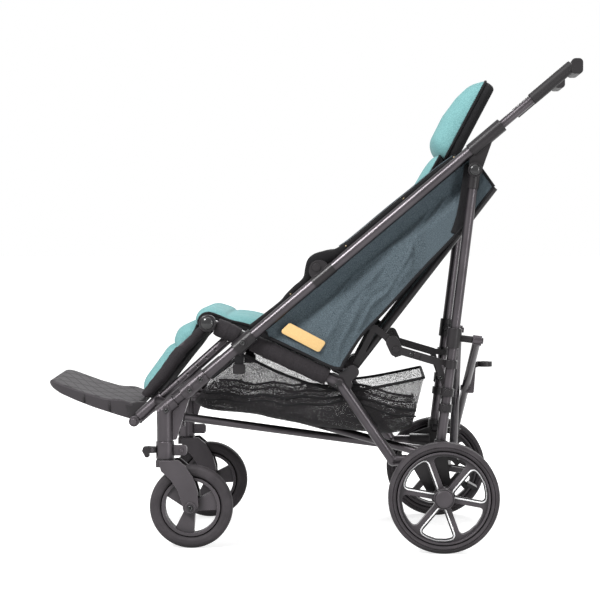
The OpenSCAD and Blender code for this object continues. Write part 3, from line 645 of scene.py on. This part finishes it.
# black rolled edge above the main tube, raised over the accessory lug
EDGE = [
    (32, 23), (72, 21), (122, 19.5), (143, 23), (168, 25), (196, 26), (213, 39), (231, 51), (252, 51),
    (274, 41), (292, 30), (324, 25), (373, 24), (420, 24), (476, 23), (507, 22), (578, 21), (640, 17),
]
edge_line, _ = smooth_path(EDGE, 96)
EDGE_OUT, EDGE_IN, EDGE_FOOT = 221.3, 194.0, 4.0
for side, y in both_sides(1):
    rows = []
    for t, n in edge_line:
        r = min(5.0, (n - EDGE_FOOT) / 2.2)
        prof = [(EDGE_OUT, EDGE_FOOT)]
        for corner, start in ((EDGE_OUT - r, 0), (EDGE_IN + r, math.pi / 2)):
            for k in range(5):
                w = start + math.pi / 2 * k / 4
                prof.append((corner + r * math.cos(w), n - r + r * math.sin(w)))
        prof.append((EDGE_IN, EDGE_FOOT))
        rows.append([on_main(t, b, y * a) for a, b in prof])
    verts = [v for row in rows for v in row]
    o = clean(piece("edge_roll_" + side, verts, loft(len(rows), len(rows[0])), "wrap"))
    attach(o, "frame_" + side)
    seam = [on_main(t, n + 1.2, y * 219) for t, n in edge_line if 300 < t < 640]
    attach(tube("edge_piping_" + side, seam, 0.0011, "panel", sides=8), "frame_" + side)

# side panels

TOP = [on_main(t, 1, 0) for t in np.linspace(61, 630, 40)] + [pt(60, 0, 886), pt(82, 0, 868)]
LOW_EDGE = [
    (-396, 480), (-318, 444), (-242, 410), (-222, 430), (-184, 487), (-129, 545), (-56, 626), (15, 700),
    (60, 752), (114, 823),
]
LOW = [pt(x, 0, z) for x, z in LOW_EDGE]
# Y of the panels' plane
PANEL_Y = 219.5
# how far each crease stands out, its width and its line
CREASES = [
    (5.4, 4.0, [(5, 796), (-15, 766), (-32, 742), (-56, 710), (-90, 644), (-132, 580), (-164, 555),
                (-191, 501)]),
    (4.2, 5.4, [(-56, 717), (-130, 678), (-198, 629), (-253, 562), (-302, 518)]),
    (3.9, 5.4, [(-110, 690), (-170, 610), (-230, 540), (-262, 480)]),
    (3.3, 4.5, [(-20, 790), (-80, 700), (-150, 630), (-215, 560)]),
    (3.6, 6.3, [(-250, 590), (-320, 530), (-370, 500)]),
    (3.3, 3.6, [(30, 800), (0, 745), (-40, 690), (-75, 655)]),
    (3.6, 4.5, [(-140, 640), (-185, 575), (-200, 530), (-232, 470), (-240, 430)]),
    (-3.3, 5.4, [(-70, 665), (-120, 600), (-160, 575), (-205, 490)]),
]


def near_line(x, z, line):
    """Distance in mm from a side point to a polyline."""
    p = np.array([x, z])
    best = 1e9
    for a, b in zip(line, line[1:]):
        a, b = np.array(a, float), np.array(b, float)
        d = b - a
        k = np.clip(((p - a) @ d) / (d @ d), 0, 1)
        best = min(best, np.linalg.norm(p - a - d * k))
    return best


def sag(x, z):
    """How far the panel stands out of its plane at a side point, in mm."""
    q = np.array([x, z]) - FRONT_BLOCK
    t, n = q @ DU, q @ DN
    fold = np.interp(-n, [-5, 8, 24, 40, 54, 78, 110, 150, 200], [0, -2, -15, -24, -17, 3, 8, 2, -3])
    fold += 4.0 * math.sin(t * 0.021 + n * 0.016) * np.interp(-n, [20, 60, 150], [0, 1, 0.4])
    fold += 1.8 * math.sin(t * 0.052 - n * 0.045 + 1.2) * np.interp(-n, [30, 70, 150], [0, 1, 0.6])
    for high, wide, line in CREASES:
        fold += high * math.exp(-((near_line(x, z, line) / wide) ** 2))
    calm = np.interp(t, [60, 170], [0.25, 1])
    return fold * calm


def rail(points, count):
    return smooth_path([tuple(p) for p in points], count)[0]


NU, NV = 130, 40
for side, y in both_sides(1):
    a, b = rail(TOP, NU), rail(LOW, NU)
    outer, inner = [], []
    for i in range(NU):
        for j in range(NV):
            v = j / (NV - 1)
            q = between(a[i], b[i], v)
            x, z = q[0] * 1000 - SHIFT, q[2] * 1000
            calm = min(1, v / 0.08, (1 - v) / 0.14, i / 8, (NU - 1 - i) / 14)
            d = sag(x, z) * calm
            if x > -70:
                d = min(d, np.interp(x, [-70, -40], [6, -0.5]))
            at = PANEL_Y + d
            outer.append(Vector((q[0], y * (at + 0.8) / 1000, q[2])))
            inner.append(Vector((q[0], y * (at - 0.8) / 1000, q[2])))
    o = shell("panel_" + side, outer, inner, NU, NV, "panel")
    for i in range(NU - 1):
        for j in range(NV - 1):
            k = i * NV + j
    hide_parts("side_panel_" + side)
    hem = tube("panel_hem_" + side, [Vector((q[0], y * 0.2198, q[2])) for q in b], 0.0036, "wrap", sides=8)
    tail = [between(a[-1], b[-1], k) for k in np.linspace(0, 1, 9)]
    tail = [Vector((q[0], y * PANEL_Y / 1000, q[2])) for q in tail]
    rear = tube("panel_rear_hem_" + side, tail, CORD_R, "wrap", sides=8)
    for cloth in (o, hem, rear):
        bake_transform(cloth)

# black webbing down the rear edge of each panel
STRAP = [(58, 872), (50, 815), (40, 757), (27, 716)]
STRAP_N, STRAP_ACROSS = 28, np.linspace(-11, 11, 7)
for side, y in both_sides(1):
    line, _ = smooth_path(STRAP, STRAP_N)
    nrm = normals(line)
    face = [line[i] + nrm[i] * w for i in range(STRAP_N) for w in STRAP_ACROSS]
    out = [pt(q[0], y * 222.2, q[1]) for q in face]
    back = [Vector((p.x, y * 0.2207, p.z)) for p in out]
    o = shell("rear_webbing_" + side, out, back, STRAP_N, len(STRAP_ACROSS), "wrap")
    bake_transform(o)

# bare leather tag on the left panel
TAG = [(-371.5, 493.4), (-348.7, 514.4), (-265, 470.1), (-282, 446.5)]
TAG_C = np.mean(np.array(TAG), axis=0)


def rounded(points, r, n=6):
    """A closed outline with its corners rounded to r."""
    out = []
    m = len(points)
    for i in range(m):
        p = np.array(points[i], float)
        d1 = np.array(points[i - 1], float) - p
        d2 = np.array(points[(i + 1) % m], float) - p
        d1 /= np.linalg.norm(d1)
        d2 /= np.linalg.norm(d2)
        half = math.acos(np.clip(d1 @ d2, -1, 1)) / 2
        c = p + (d1 + d2) / np.linalg.norm(d1 + d2) * r / math.sin(half)
        a, b = p + d1 * r / math.tan(half) - c, p + d2 * r / math.tan(half) - c
        a0 = math.atan2(a[1], a[0])
        turn = math.atan2(a[0] * b[1] - a[1] * b[0], a @ b)
        for k in range(n + 1):
            g = a0 + turn * k / n
            out.append(tuple(c + r * np.array([math.cos(g), math.sin(g)])))
    return out


tag_line = rounded(TAG, 6)
TAG_OUT = 220.6 + max(sag(x, z) for x, z in tag_line)
rings = [(-3.0, 1.0), (1.2, 1.0), (1.9, 0.985), (2.2, 0.96)]
verts = []
for h, k in rings:
    for x, z in tag_line:
        qx, qz = TAG_C[0] + (x - TAG_C[0]) * k, TAG_C[1] + (z - TAG_C[1]) * k
        verts.append(pt(qx, -(TAG_OUT + h), qz))
o = clean(piece("leather_tag", verts, loft(len(rings), len(tag_line)), "tag"))
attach(o, "frame_left")


def dome(name, centre, r, high, slot, body, out=Vector((0, -1, 0)), steps=5, around=16):
    """A low round cap that looks along out."""
    u = out.orthogonal().normalized()
    v = out.cross(u)
    verts = []
    for i in range(steps):
        w = math.pi / 2 * i / steps
        for k in range(around):
            g = 2 * math.pi * k / around
            spoke = u * math.cos(g) + v * math.sin(g)
            verts.append(centre + spoke * r * math.cos(w) + out * high * math.sin(w))
    verts.append(centre + out * high)
    a = (steps - 1) * around
    fan = [(a + k, a + (k + 1) % around, len(verts) - 1) for k in range(around)]
    return piece(name, verts, loft(steps, around)[:-1] + fan, slot, body)


# brass press studs on the rolled edge
STUDS = [(151, 15.5), (318, 18), (487, 15.5), (634, 13.4)]
for side, y in both_sides(1):
    out = Vector((0, y, 0))
    for k, (t, n) in enumerate(STUDS):
        dome(f"stud_{side}_{k}", on_main(t, n, y * 221.2), 0.0023, 0.0014, "brass", "frame_" + side, out)

# basket: an open mesh bag that hangs between the frames

RIM = [
    (-530, 384), (-494, 412), (-459, 436), (-419, 417), (-381, 399), (-342, 384), (-302, 370), (-257, 359),
    (-214, 356), (-167, 361), (-108, 372), (-42, 386),
]
SOLE = [
    (-574, 326), (-548, 312), (-512, 306), (-470, 303), (-428, 298), (-393, 290), (-346, 281),
    (-293, 272), (-240, 266), (-181, 260), (-120, 256), (-72, 266),
]
SPLIT = [
    (-590, 345), (-540, 350), (-500, 352), (-455, 342), (-410, 346), (-360, 334), (-322, 343),
    (-275, 340), (-225, 346), (-180, 336), (-120, 318), (-30, 312),
]
# stations along the bag and across it, its half width, and how far its floor's edge lies in from its side
NS, NJ, HALF, FLOOR_IN = 72, 64, 174.0, 20
rim_line, _ = smooth_path(RIM, NS)
sole_line, _ = smooth_path(SOLE, NS)


def bag_point(i, g):
    """A point of the bag's wall: station i, and g from 0 at the left rim to 1 at the right one."""
    top, low = rim_line[i], sole_line[i]
    side, floor = np.linalg.norm(top - low), 2 * (HALF - FLOOR_IN)
    run = g * (2 * side + floor)
    if side <= run <= side + floor:
        y = -HALF + FLOOR_IN + (run - side)
        sink = 7 * (1 - (abs(y) / (HALF - FLOOR_IN)) ** 2)
        return np.array([low[0], y, low[1] - sink])
    k, out = (run / side, -1) if run < side else ((2 * side + floor - run) / side, 1)
    q = between(top, low, k)
    tuck = 0.115 * max(0, (k - 0.72) / 0.28) ** 2
    belly = 5 * math.sin(math.pi * min(1, k * 1.1)) ** 2
    ripple = 1.6 * math.sin(q[0] * 0.085 + 2.2 * k) * math.sin(math.pi * min(1, k))
    ripple += 0.9 * math.sin(q[0] * 0.21 - 3 * k) * k
    return np.array([q[0], out * (HALF * (1 - tuck) + belly) + math.copysign(ripple, out), q[1]])


points = [[bag_point(i, g) for g in np.linspace(0, 1, NJ)] for i in range(NS)]
bag_faces = {"bag_upper": [], "bag_lower": []}
bag_verts = {"bag_upper": {}, "bag_lower": {}}


def bag_face(corner):
    c = np.mean(corner, axis=0)
    name = "bag_upper" if c[2] > np.interp(c[0], *zip(*SPLIT)) else "bag_lower"
    ids = []
    for q in corner:
        key = tuple(np.round(q, 3))
        ids.append(bag_verts[name].setdefault(key, len(bag_verts[name])))
    bag_faces[name].append(tuple(ids))


for i in range(NS - 1):
    for j in range(NJ - 1):
        bag_face([points[i][j], points[i + 1][j], points[i + 1][j + 1], points[i][j + 1]])
END_N = 16
for end in (0, NS - 1):
    for j in range(NJ // 2 - 1):
        a0, a1 = points[end][j], points[end][j + 1]
        b0, b1 = points[end][NJ - 1 - j], points[end][NJ - 2 - j]
        for k in range(END_N):
            u, v = k / END_N, (k + 1) / END_N
            bag_face([between(a0, b0, u), between(a1, b1, u), between(a1, b1, v), between(a0, b0, v)])
bag = []
for name, slot in (("bag_upper", "heather"), ("bag_lower", "net")):
    o = piece(name, [pt(*q) for q in bag_verts[name]], bag_faces[name], slot)
    clean(o)
    s = o.modifiers.new("thick", "SOLIDIFY")
    s.thickness = 0.0016
    s.offset = 0
    applied(o)
    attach(o, "frame_left")
    bag.append(o)
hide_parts("basket")
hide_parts("basket")
END_RUN = np.linspace(0.03, 0.97, 24)
rim_loop = [pt(*points[i][0]) for i in range(NS)]
rim_loop += [pt(*between(points[-1][0], points[-1][-1], u)) for u in END_RUN]
rim_loop += [pt(*points[i][-1]) for i in range(NS - 1, -1, -1)]
rim_loop += [pt(*between(points[0][-1], points[0][0], u)) for u in END_RUN]
bands = [loop_tube("bag_rim", rim_loop, CORD_R, "wrap")]
for side, sign in both_sides(1):
    for k, (shift, r) in enumerate(((0, 0.0030), (-15, 0.0022))):
        run = []
        for x in np.linspace(-545, -60, 60):
            z = np.interp(x, *zip(*SPLIT)) + shift + 3 * math.sin(x * 0.03 + k)
            i = min(range(NS), key=lambda s: abs(points[s][6][0] - x))
            g = min(range(NJ // 2), key=lambda j: abs(points[i][j][2] - z))
            run.append(pt(x, sign * (abs(points[i][g][1]) + 1.0), z))
        bands.append(tube(f"bag_band_{side}_{k}", run, r, "wrap", sides=8))
for o in bands:
    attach(o, "frame_left")
fold_flat(0.27, *bag, *bands)
BAG_STRAP = [(-478, 462), (-456, 462), (-457, 398), (-479, 398)]
BUCKLE = [(-482, 416), (-453, 416), (-453, 394), (-482, 394)]
for side, y in both_sides(1):
    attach(slab("bag_strap_" + side, BAG_STRAP, y * 181.5, 1.6, "wrap", 1.2), "frame_" + side)
    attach(slab("bag_buckle_" + side, BUCKLE, y * 183.5, 3.4, "fitting", 1.8), "frame_" + side)

# fabric wraps on the seat tubes
KNEE = np.array([-536.0, 513.0])
SEAT_DIR = np.array([300.0, -136.0]) / math.hypot(300, 136)
SEAT_UP = np.array([-SEAT_DIR[1], SEAT_DIR[0]])
SEAT_Y, SEAT_R = 205, 12.6
WRAPS = ((20, 77, (50,)), (111, 300, (153, 265)))
for side, y in both_sides(1):
    for k, (t0, t1, seams) in enumerate(WRAPS):
        count, around = int((t1 - t0) / 2.2), 40
        verts = []
        for i in range(count + 1):
            t = t0 + (t1 - t0) * i / count
            d = min(t - t0, t1 - t)
            base = 19.4 + 1.0 * quarter(d / 10) - (1.2 if 3 < d < 4.5 else 0)
            for s in seams:
                base -= 1.5 * math.exp(-(((t - s) / 1.6) ** 2)) - 0.7 * math.exp(-(((t - s) / 6) ** 2))
            for j in range(around):
                w = 2 * math.pi * j / around
                r = base + 0.5 * math.sin(t * 0.11 + 2 * w) + 0.35 * math.sin(t * 0.31 + w)
                r += 1.2 * math.exp(-(((w - 4.4) / 0.12) ** 2))
                q = KNEE + SEAT_DIR * t + SEAT_UP * r * math.sin(w)
                verts.append(pt(q[0], y * (SEAT_Y + r * math.cos(w) * 0.97), q[1]))
        for t in (t1, t0):
            for j in range(around):
                w = 2 * math.pi * j / around
                q = KNEE + SEAT_DIR * t + SEAT_UP * SEAT_R * math.sin(w)
                verts.append(pt(q[0], y * (SEAT_Y + SEAT_R * math.cos(w)), q[1]))
        o = clean(piece(f"wrap_{side}_{k}", verts, loft(count + 3, around, True), "cover"))
        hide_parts("tube_wrap_" + side)
        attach(o, "frame_" + side)

# padded sleeves on the calf tubes
CALF = [(-551, 500), (-580, 474), (-612, 446), (-640, 408), (-668, 370), (-688, 343)]
CALF_N, CALF_Y, CALF_R = 60, 168, 8.0
for side, y in both_sides(CALF_Y):
    line, length = smooth_path(CALF, CALF_N)
    nrm = normals(line)
    around = 28
    verts = []
    for i in range(CALF_N):
        run = length * i / (CALF_N - 1)
        end = min(run, length - run)
        thick = np.interp(run, [0, 70, 78, length - 50, length], [3.6, 3.8, 7.2, 6.4, 2.6])
        r = CALF_R + thick * quarter((end + 1) / 7)
        off = np.interp(run, [0, 60, length - 60, length], [1.5, 7, 7, 1.5])
        r -= 0.9 * math.exp(-(((run - 74) / 2.0) ** 2)) + 0.7 * math.exp(-(((run - 40) / 1.6) ** 2))
        for j in range(around):
            w = 2 * math.pi * j / around
            k = r + 0.35 * math.sin(run * 0.24 + 2 * w)
            q = line[i] + nrm[i] * (off + k * math.sin(w))
            verts.append(pt(q[0], y + k * math.cos(w), q[1]))
    o = clean(piece("calf_sleeve_" + side, verts, loft(CALF_N, around), "cover"))
    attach(o, "calf_" + side)

# back cover behind the cushion
BACK_LOW, BACK_TOP = np.array([-168.0, 451.0]), np.array([118.0, 822.0])
BACK_N, BACK_HALF = 40, 161
line = [BACK_LOW + (BACK_TOP - BACK_LOW) * k for k in np.linspace(0, 1, BACK_N)]
bd = (BACK_TOP - BACK_LOW) / np.linalg.norm(BACK_TOP - BACK_LOW)
bn = np.array([-bd[1], bd[0]])
outer, inner = [], []
for i, q in enumerate(line):
    for w in np.linspace(-1, 1, BACK_N):
        v = i / (BACK_N - 1)
        d = -5 * (1 - w**4) * math.sin(math.pi * v) + 0.9 * math.sin(9 * v + 5 * w) * (1 - w**2)
        for h, out in ((-0.9, outer), (0.9, inner)):
            p = q + bn * (d + h)
            out.append(pt(p[0], w * BACK_HALF, p[1]))
o = shell("back_cover", outer, inner, BACK_N, BACK_N, "panel")
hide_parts("shell_back")
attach(o, "back_left")
fold_flat(0.19, o)

# glossy caps on the knee knobs and the post heads
for side, y in both_sides(1):
    out = Vector((0, y, 0))
    body = "frame_" + side
    dome("knee_ring_" + side, pt(KNEE[0], y * 231.5, KNEE[1]), 0.0198, 0.0042, "fitting", body, out, 8, 48)
    dome("knee_cap_" + side, pt(KNEE[0], y * 233.2, KNEE[1]), 0.0150, 0.0070, "knob", body, out, 10, 48)
    dome("post_cap_" + side, pt(70, y * 251.2, 860), 0.0125, 0.005, "knob", body, out, 8, 32)

# footplate: a dished deck with a deep skirt on the near side, heel lips and a hinge ear
DECK_TOP = (
    [-923, -919, -912, -900, -884, -834, -788, -737, -706],
    [372, 376, 377, 374, 368, 350, 337, 327, 322],
)
DECK_LOW = ([-923, -912, -893, -855, -813, -763, -706], [367, 358, 347, 330, 314, 298, 281])
DECK_SOLE = ([-923, -912, -893, -855, -813, -763, -706], [367, 360, 354, 342, 330, 318, 306])
DECK_FRONT, DECK_REAR, DECK_HALF = -923, -710, 129
NOSE_R, HEEL_R = 40, 14
# rise of the deck from its near edge to its far one, for each millimetre across
DECK_LEAN = 5 / 129
HINGE = (-711.3, 282.7)
EAR = [(-722, 274), (-702, 272), (-682, 304), (-684, 322), (-712, 325), (-742, 318)]


def deck_row(x):
    """Half width, top, skirt's foot and sole of the deck at a station."""
    c = max(0.0, NOSE_R - (x - DECK_FRONT))
    e = max(0.0, HEEL_R - (DECK_REAR - x))
    half = DECK_HALF - NOSE_R + math.sqrt(NOSE_R**2 - c * c) - HEEL_R + math.sqrt(HEEL_R**2 - e * e)
    return [half] + [float(np.interp(x, *line)) for line in (DECK_TOP, DECK_LOW, DECK_SOLE)]


def deck_edge(half, edge, foot):
    """The rolled edge of one side, from the top to the foot."""
    return [(half - 2, edge - 0.8), (half, edge - 3.4), (half - 1.6, (edge + foot) / 2), (half - 4, foot + 1)]


def deck_section(x):
    half, top, low, sole = deck_row(x)
    lip = 5.0 * math.exp(-(((x + 748) / 22) ** 2))
    out = []
    for w in np.linspace(-1, 1, 61):
        y = w * (half - 5)
        side = (abs(y) / max(half - 5, 1)) ** 6
        out.append((y, top + lip * side))
    out += deck_edge(half, top + lip, sole) + [(half - 7, sole)]
    out += [(y, sole) for y in np.linspace(half - 16, 14 - half, 9)]
    out += [(8 - half, low)] + [(-y, z) for y, z in deck_edge(half, top + lip, low)][::-1]
    return [(y, z + y * DECK_LEAN) for y, z in out]


stations = [np.linspace(-922.6, -900, 10), np.linspace(-897, -718, 60), np.linspace(-716, -710.2, 6)]
stations = np.concatenate(stations)
rows = [deck_section(x) for x in stations]
verts = [pt(x, y, z) for x, row in zip(stations, rows) for y, z in row]
deck = clean(piece("foot_deck", verts, loft(len(rows), len(rows[0])), "deck"))
deck.data.set_sharp_from_angle(angle=math.radians(32))
ear = slab("foot_ear", EAR, -122, 6.5, "plate", 2.5)
pin = tube("foot_pin", [pt(HINGE[0], y, HINGE[1]) for y in (-151, -140, -128)], 0.0085, "plate", sides=28)
for o in (deck, ear, pin):
    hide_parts("footplate")
    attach(o, "foot_plate")
for k, x in enumerate((-836, -776)):
    half, top, low, sole = deck_row(x)
    for side, y in both_sides(half - 0.8):
        foot = low if y < 0 else sole
        line = [pt(x, y, z + y * DECK_LEAN) for z in (top - 3, (top + foot) / 2, foot + 3)]
        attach(tube(f"foot_rib_{side}_{k}", line, 0.0014, "plate", sides=10), "foot_plate")


def face_y(x, z, names):
    """How far out the named left nodes reach at a side point, in millimetres."""
    hits = [nodes[name].ray_cast(pt(x, -600, z), Vector((0, 1, 0))) for name in names]
    return max(-at.y * 1000 for hit, at, _, _ in hits if hit)


def screw(name, centre, out, r, body):
    """A button head with a hexagon socket."""
    u, v = Vector((1, 0, 0)), Vector((0, 0, 1))
    around = 24
    turns = [2 * math.pi * k / around for k in range(around)]
    rings = []
    for share, high in ((1.0, 0.0), (1.0, 0.35), (0.9, 0.62), (0.7, 0.78)):
        rings.append([(share * r * math.cos(g), share * r * math.sin(g), high * r) for g in turns])
    for size, high in ((0.5, 0.8), (0.47, 0.3)):
        row = []
        for g in turns:
            bend = (g + math.pi / 6) % (math.pi / 3) - math.pi / 6
            q = size * r * math.cos(math.pi / 6) / math.cos(bend)
            row.append((q * math.cos(g), q * math.sin(g), high * r))
        rings.append(row)
    verts = [centre + u * a + v * b + out * h for row in rings for a, b, h in row]
    return clean(piece(name, verts, loft(len(rings), around), "knob", body, smooth=False))


# socket screws on the fittings: number, side point and radius
SCREWS = [
    (0, -454, 469, 5.6), (1, -550, 386, 5.6), (2, -574, 361, 5.2), (3, -628, 315, 5.6),
    (4, -243, 371, 4.6), (5, -72, 441, 4.6), (7, -4, 388, 4.4), (8, -3, 347, 4.4),
]
FITTINGS = ["frame_joints", "caster_bracket", "main_tube", "seat_leg", "rear_post", "axle_bracket"]
for k, x, z, r in SCREWS:
    y = face_y(x, z, [n + "_left" for n in FITTINGS])
    for side, s in both_sides(1):
        screw(f"screw_{side}_{k}", pt(x, s * (y - 0.4), z), Vector((0, s, 0)), r / 1000, "frame_" + side)

# dark lips between the silver lines and their openings, a little inside each opening's outline
AXLE_Z, LIP_IN = 125, 1.6
SPOKE_TURN = math.radians(30)
lip_r, lip_half = 94.5 - LIP_IN, 6.8 + LIP_IN
lip_turn = SPOKE_TURN - math.asin(lip_half / lip_r)
lip_rays = [(lip_half / math.sin(SPOKE_TURN), 0), (lip_r, -lip_turn), (lip_r * 1.01, -lip_turn / 2)]
lip_rays += [(lip_r * 1.02, 0), (lip_r * 1.01, lip_turn / 2), (lip_r, lip_turn)]
SPOKE_AT = (44 * math.cos(math.radians(50)), AXLE_Z + 44 * math.sin(math.radians(50)))
for side, s in both_sides(1):
    y = face_y(*SPOKE_AT, ["rear_rim_left"])
    for k in (20, 140, 260):
        turn = math.radians(k)
        edge = rounded([(r * math.cos(a + turn), r * math.sin(a + turn)) for r, a in lip_rays], 9 - LIP_IN)
        edge = [pt(x, s * (y - 0.2), AXLE_Z + z) for x, z in edge]
        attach(tube(f"trim_lip_{side}_{k}", edge, 0.0018, "fitting", True, 8), "rear_wheel_" + side)

# hub caps and axle bolts
CASTER_AT = (-573, 95)
for side, s in both_sides(1):
    out = Vector((0, s, 0))
    wheel = "rear_wheel_" + side
    y = face_y(12, AXLE_Z + 12, ["rear_rim_left"])
    dome("hub_ring_" + side, pt(0, s * (y - 0.6), AXLE_Z), 0.0228, 0.0022, "fitting", wheel, out, 6, 48)
    dome("hub_cap_" + side, pt(0, s * (y + 0.4), AXLE_Z), 0.0196, 0.0030, "rim", wheel, out, 8, 48)
    x, z = CASTER_AT
    y = face_y(x, z, ["fork_left"])
    screw(f"axle_bolt_{side}", pt(x, s * (y - 0.3), z), out, 0.0068, "caster_" + side)

# small bare tag in the side seam of the headrest
o = slab("head_tag", [(2, 986), (9, 1000), (17, 996), (10, 982)], -34, 5, "tag", 0.8)
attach(o, "back_left")
fold_flat(FOLDED["headrest"], o)

# camera, light and stage

IMAGE_PX, FOCAL_PX, SENSOR = 600, 1815, 36
cam_data = bpy.data.cameras.new("camera")
cam_data.sensor_width = SENSOR
cam_data.lens = FOCAL_PX / IMAGE_PX * SENSOR
cam = bpy.data.objects.new("camera", cam_data)
cam.location = (0.1515, -4.3483, 0.7092)
cam.rotation_euler = (math.radians(90 - 1.988), 0, math.radians(2.365))
bpy.context.scene.collection.objects.link(cam)
bpy.context.scene.camera = cam
bpy.context.scene.view_settings.view_transform = "Standard"


def shows_backdrop(m):
    """1 where the camera, a mirror or glass looks at the backdrop, and 0 where it only lights."""
    rays = add(m, "ShaderNodeLightPath").outputs
    mirrored = math_node(m, "MAXIMUM", rays["Is Glossy Ray"], rays["Is Transmission Ray"])
    return math_node(m, "MAXIMUM", rays["Is Camera Ray"], mirrored)


world = bpy.data.worlds.new("studio")
bpy.context.scene.world = world
world.use_nodes = True
bg = world.node_tree.nodes["Background"]
bg.inputs["Color"].default_value = (1, 1, 1, 1)
level = add(world, "ShaderNodeMix")
level.inputs["A"].default_value = 0.16
level.inputs["B"].default_value = 1.0
link(world, shows_backdrop(world), level.inputs["Factor"])
link(world, level.outputs["Result"], bg.inputs["Strength"])


def lamp(name, at, target, size, power, wide=None):
    d = bpy.data.lights.new(name, "AREA")
    d.size = size
    if wide:
        d.shape = "RECTANGLE"
        d.size_y = wide
    d.energy = power
    o = bpy.data.objects.new(name, d)
    o.location = at
    o.rotation_euler = (Vector(target) - Vector(at)).to_track_quat("-Z", "Y").to_euler()
    bpy.context.scene.collection.objects.link(o)


lamp("key", (-2.3, -2.9, 3.3), (0, 0, 0.5), 1.3, 235)
lamp("strip", (2.3, -2.6, 1.3), (0.1, 0, 0.6), 0.3, 42, 2.4)
lamp("top", (0.1, -0.6, 3.6), (0, 0, 0.4), 2.2, 34)
lamp("rear", (0.8, 2.6, 2.2), (0, 0, 0.4), 1.6, 60)

floor = piece("floor", [(-30, -30, 0), (30, -30, 0), (30, 60, 0), (-30, 60, 0)], [(0, 1, 2, 3)], "wrap")
stage = material("stage", (0.6, 0.6, 0.6), 0.9)
glow = shader_of(stage)
glow.inputs["Emission Color"].default_value = (1, 1, 1, 1)
lit = shows_backdrop(stage)
spot = add(stage, "ShaderNodeNewGeometry")
far = add(stage, "ShaderNodeVectorMath")
far.operation = "LENGTH"
link(stage, spot.outputs["Position"], far.inputs[0])
fade = add(stage, "ShaderNodeMapRange")
for key, value in (("From Min", 0.6), ("From Max", 1.8), ("To Min", 0.72), ("To Max", 1.0)):
    fade.inputs[key].default_value = value
link(stage, far.outputs["Value"], fade.inputs["Value"])
link(stage, math_node(stage, "MULTIPLY", lit, fade.outputs["Result"]), glow.inputs["Emission Strength"])
floor.data.materials.clear()
floor.data.materials.append(stage)
floor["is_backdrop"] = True

low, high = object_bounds()
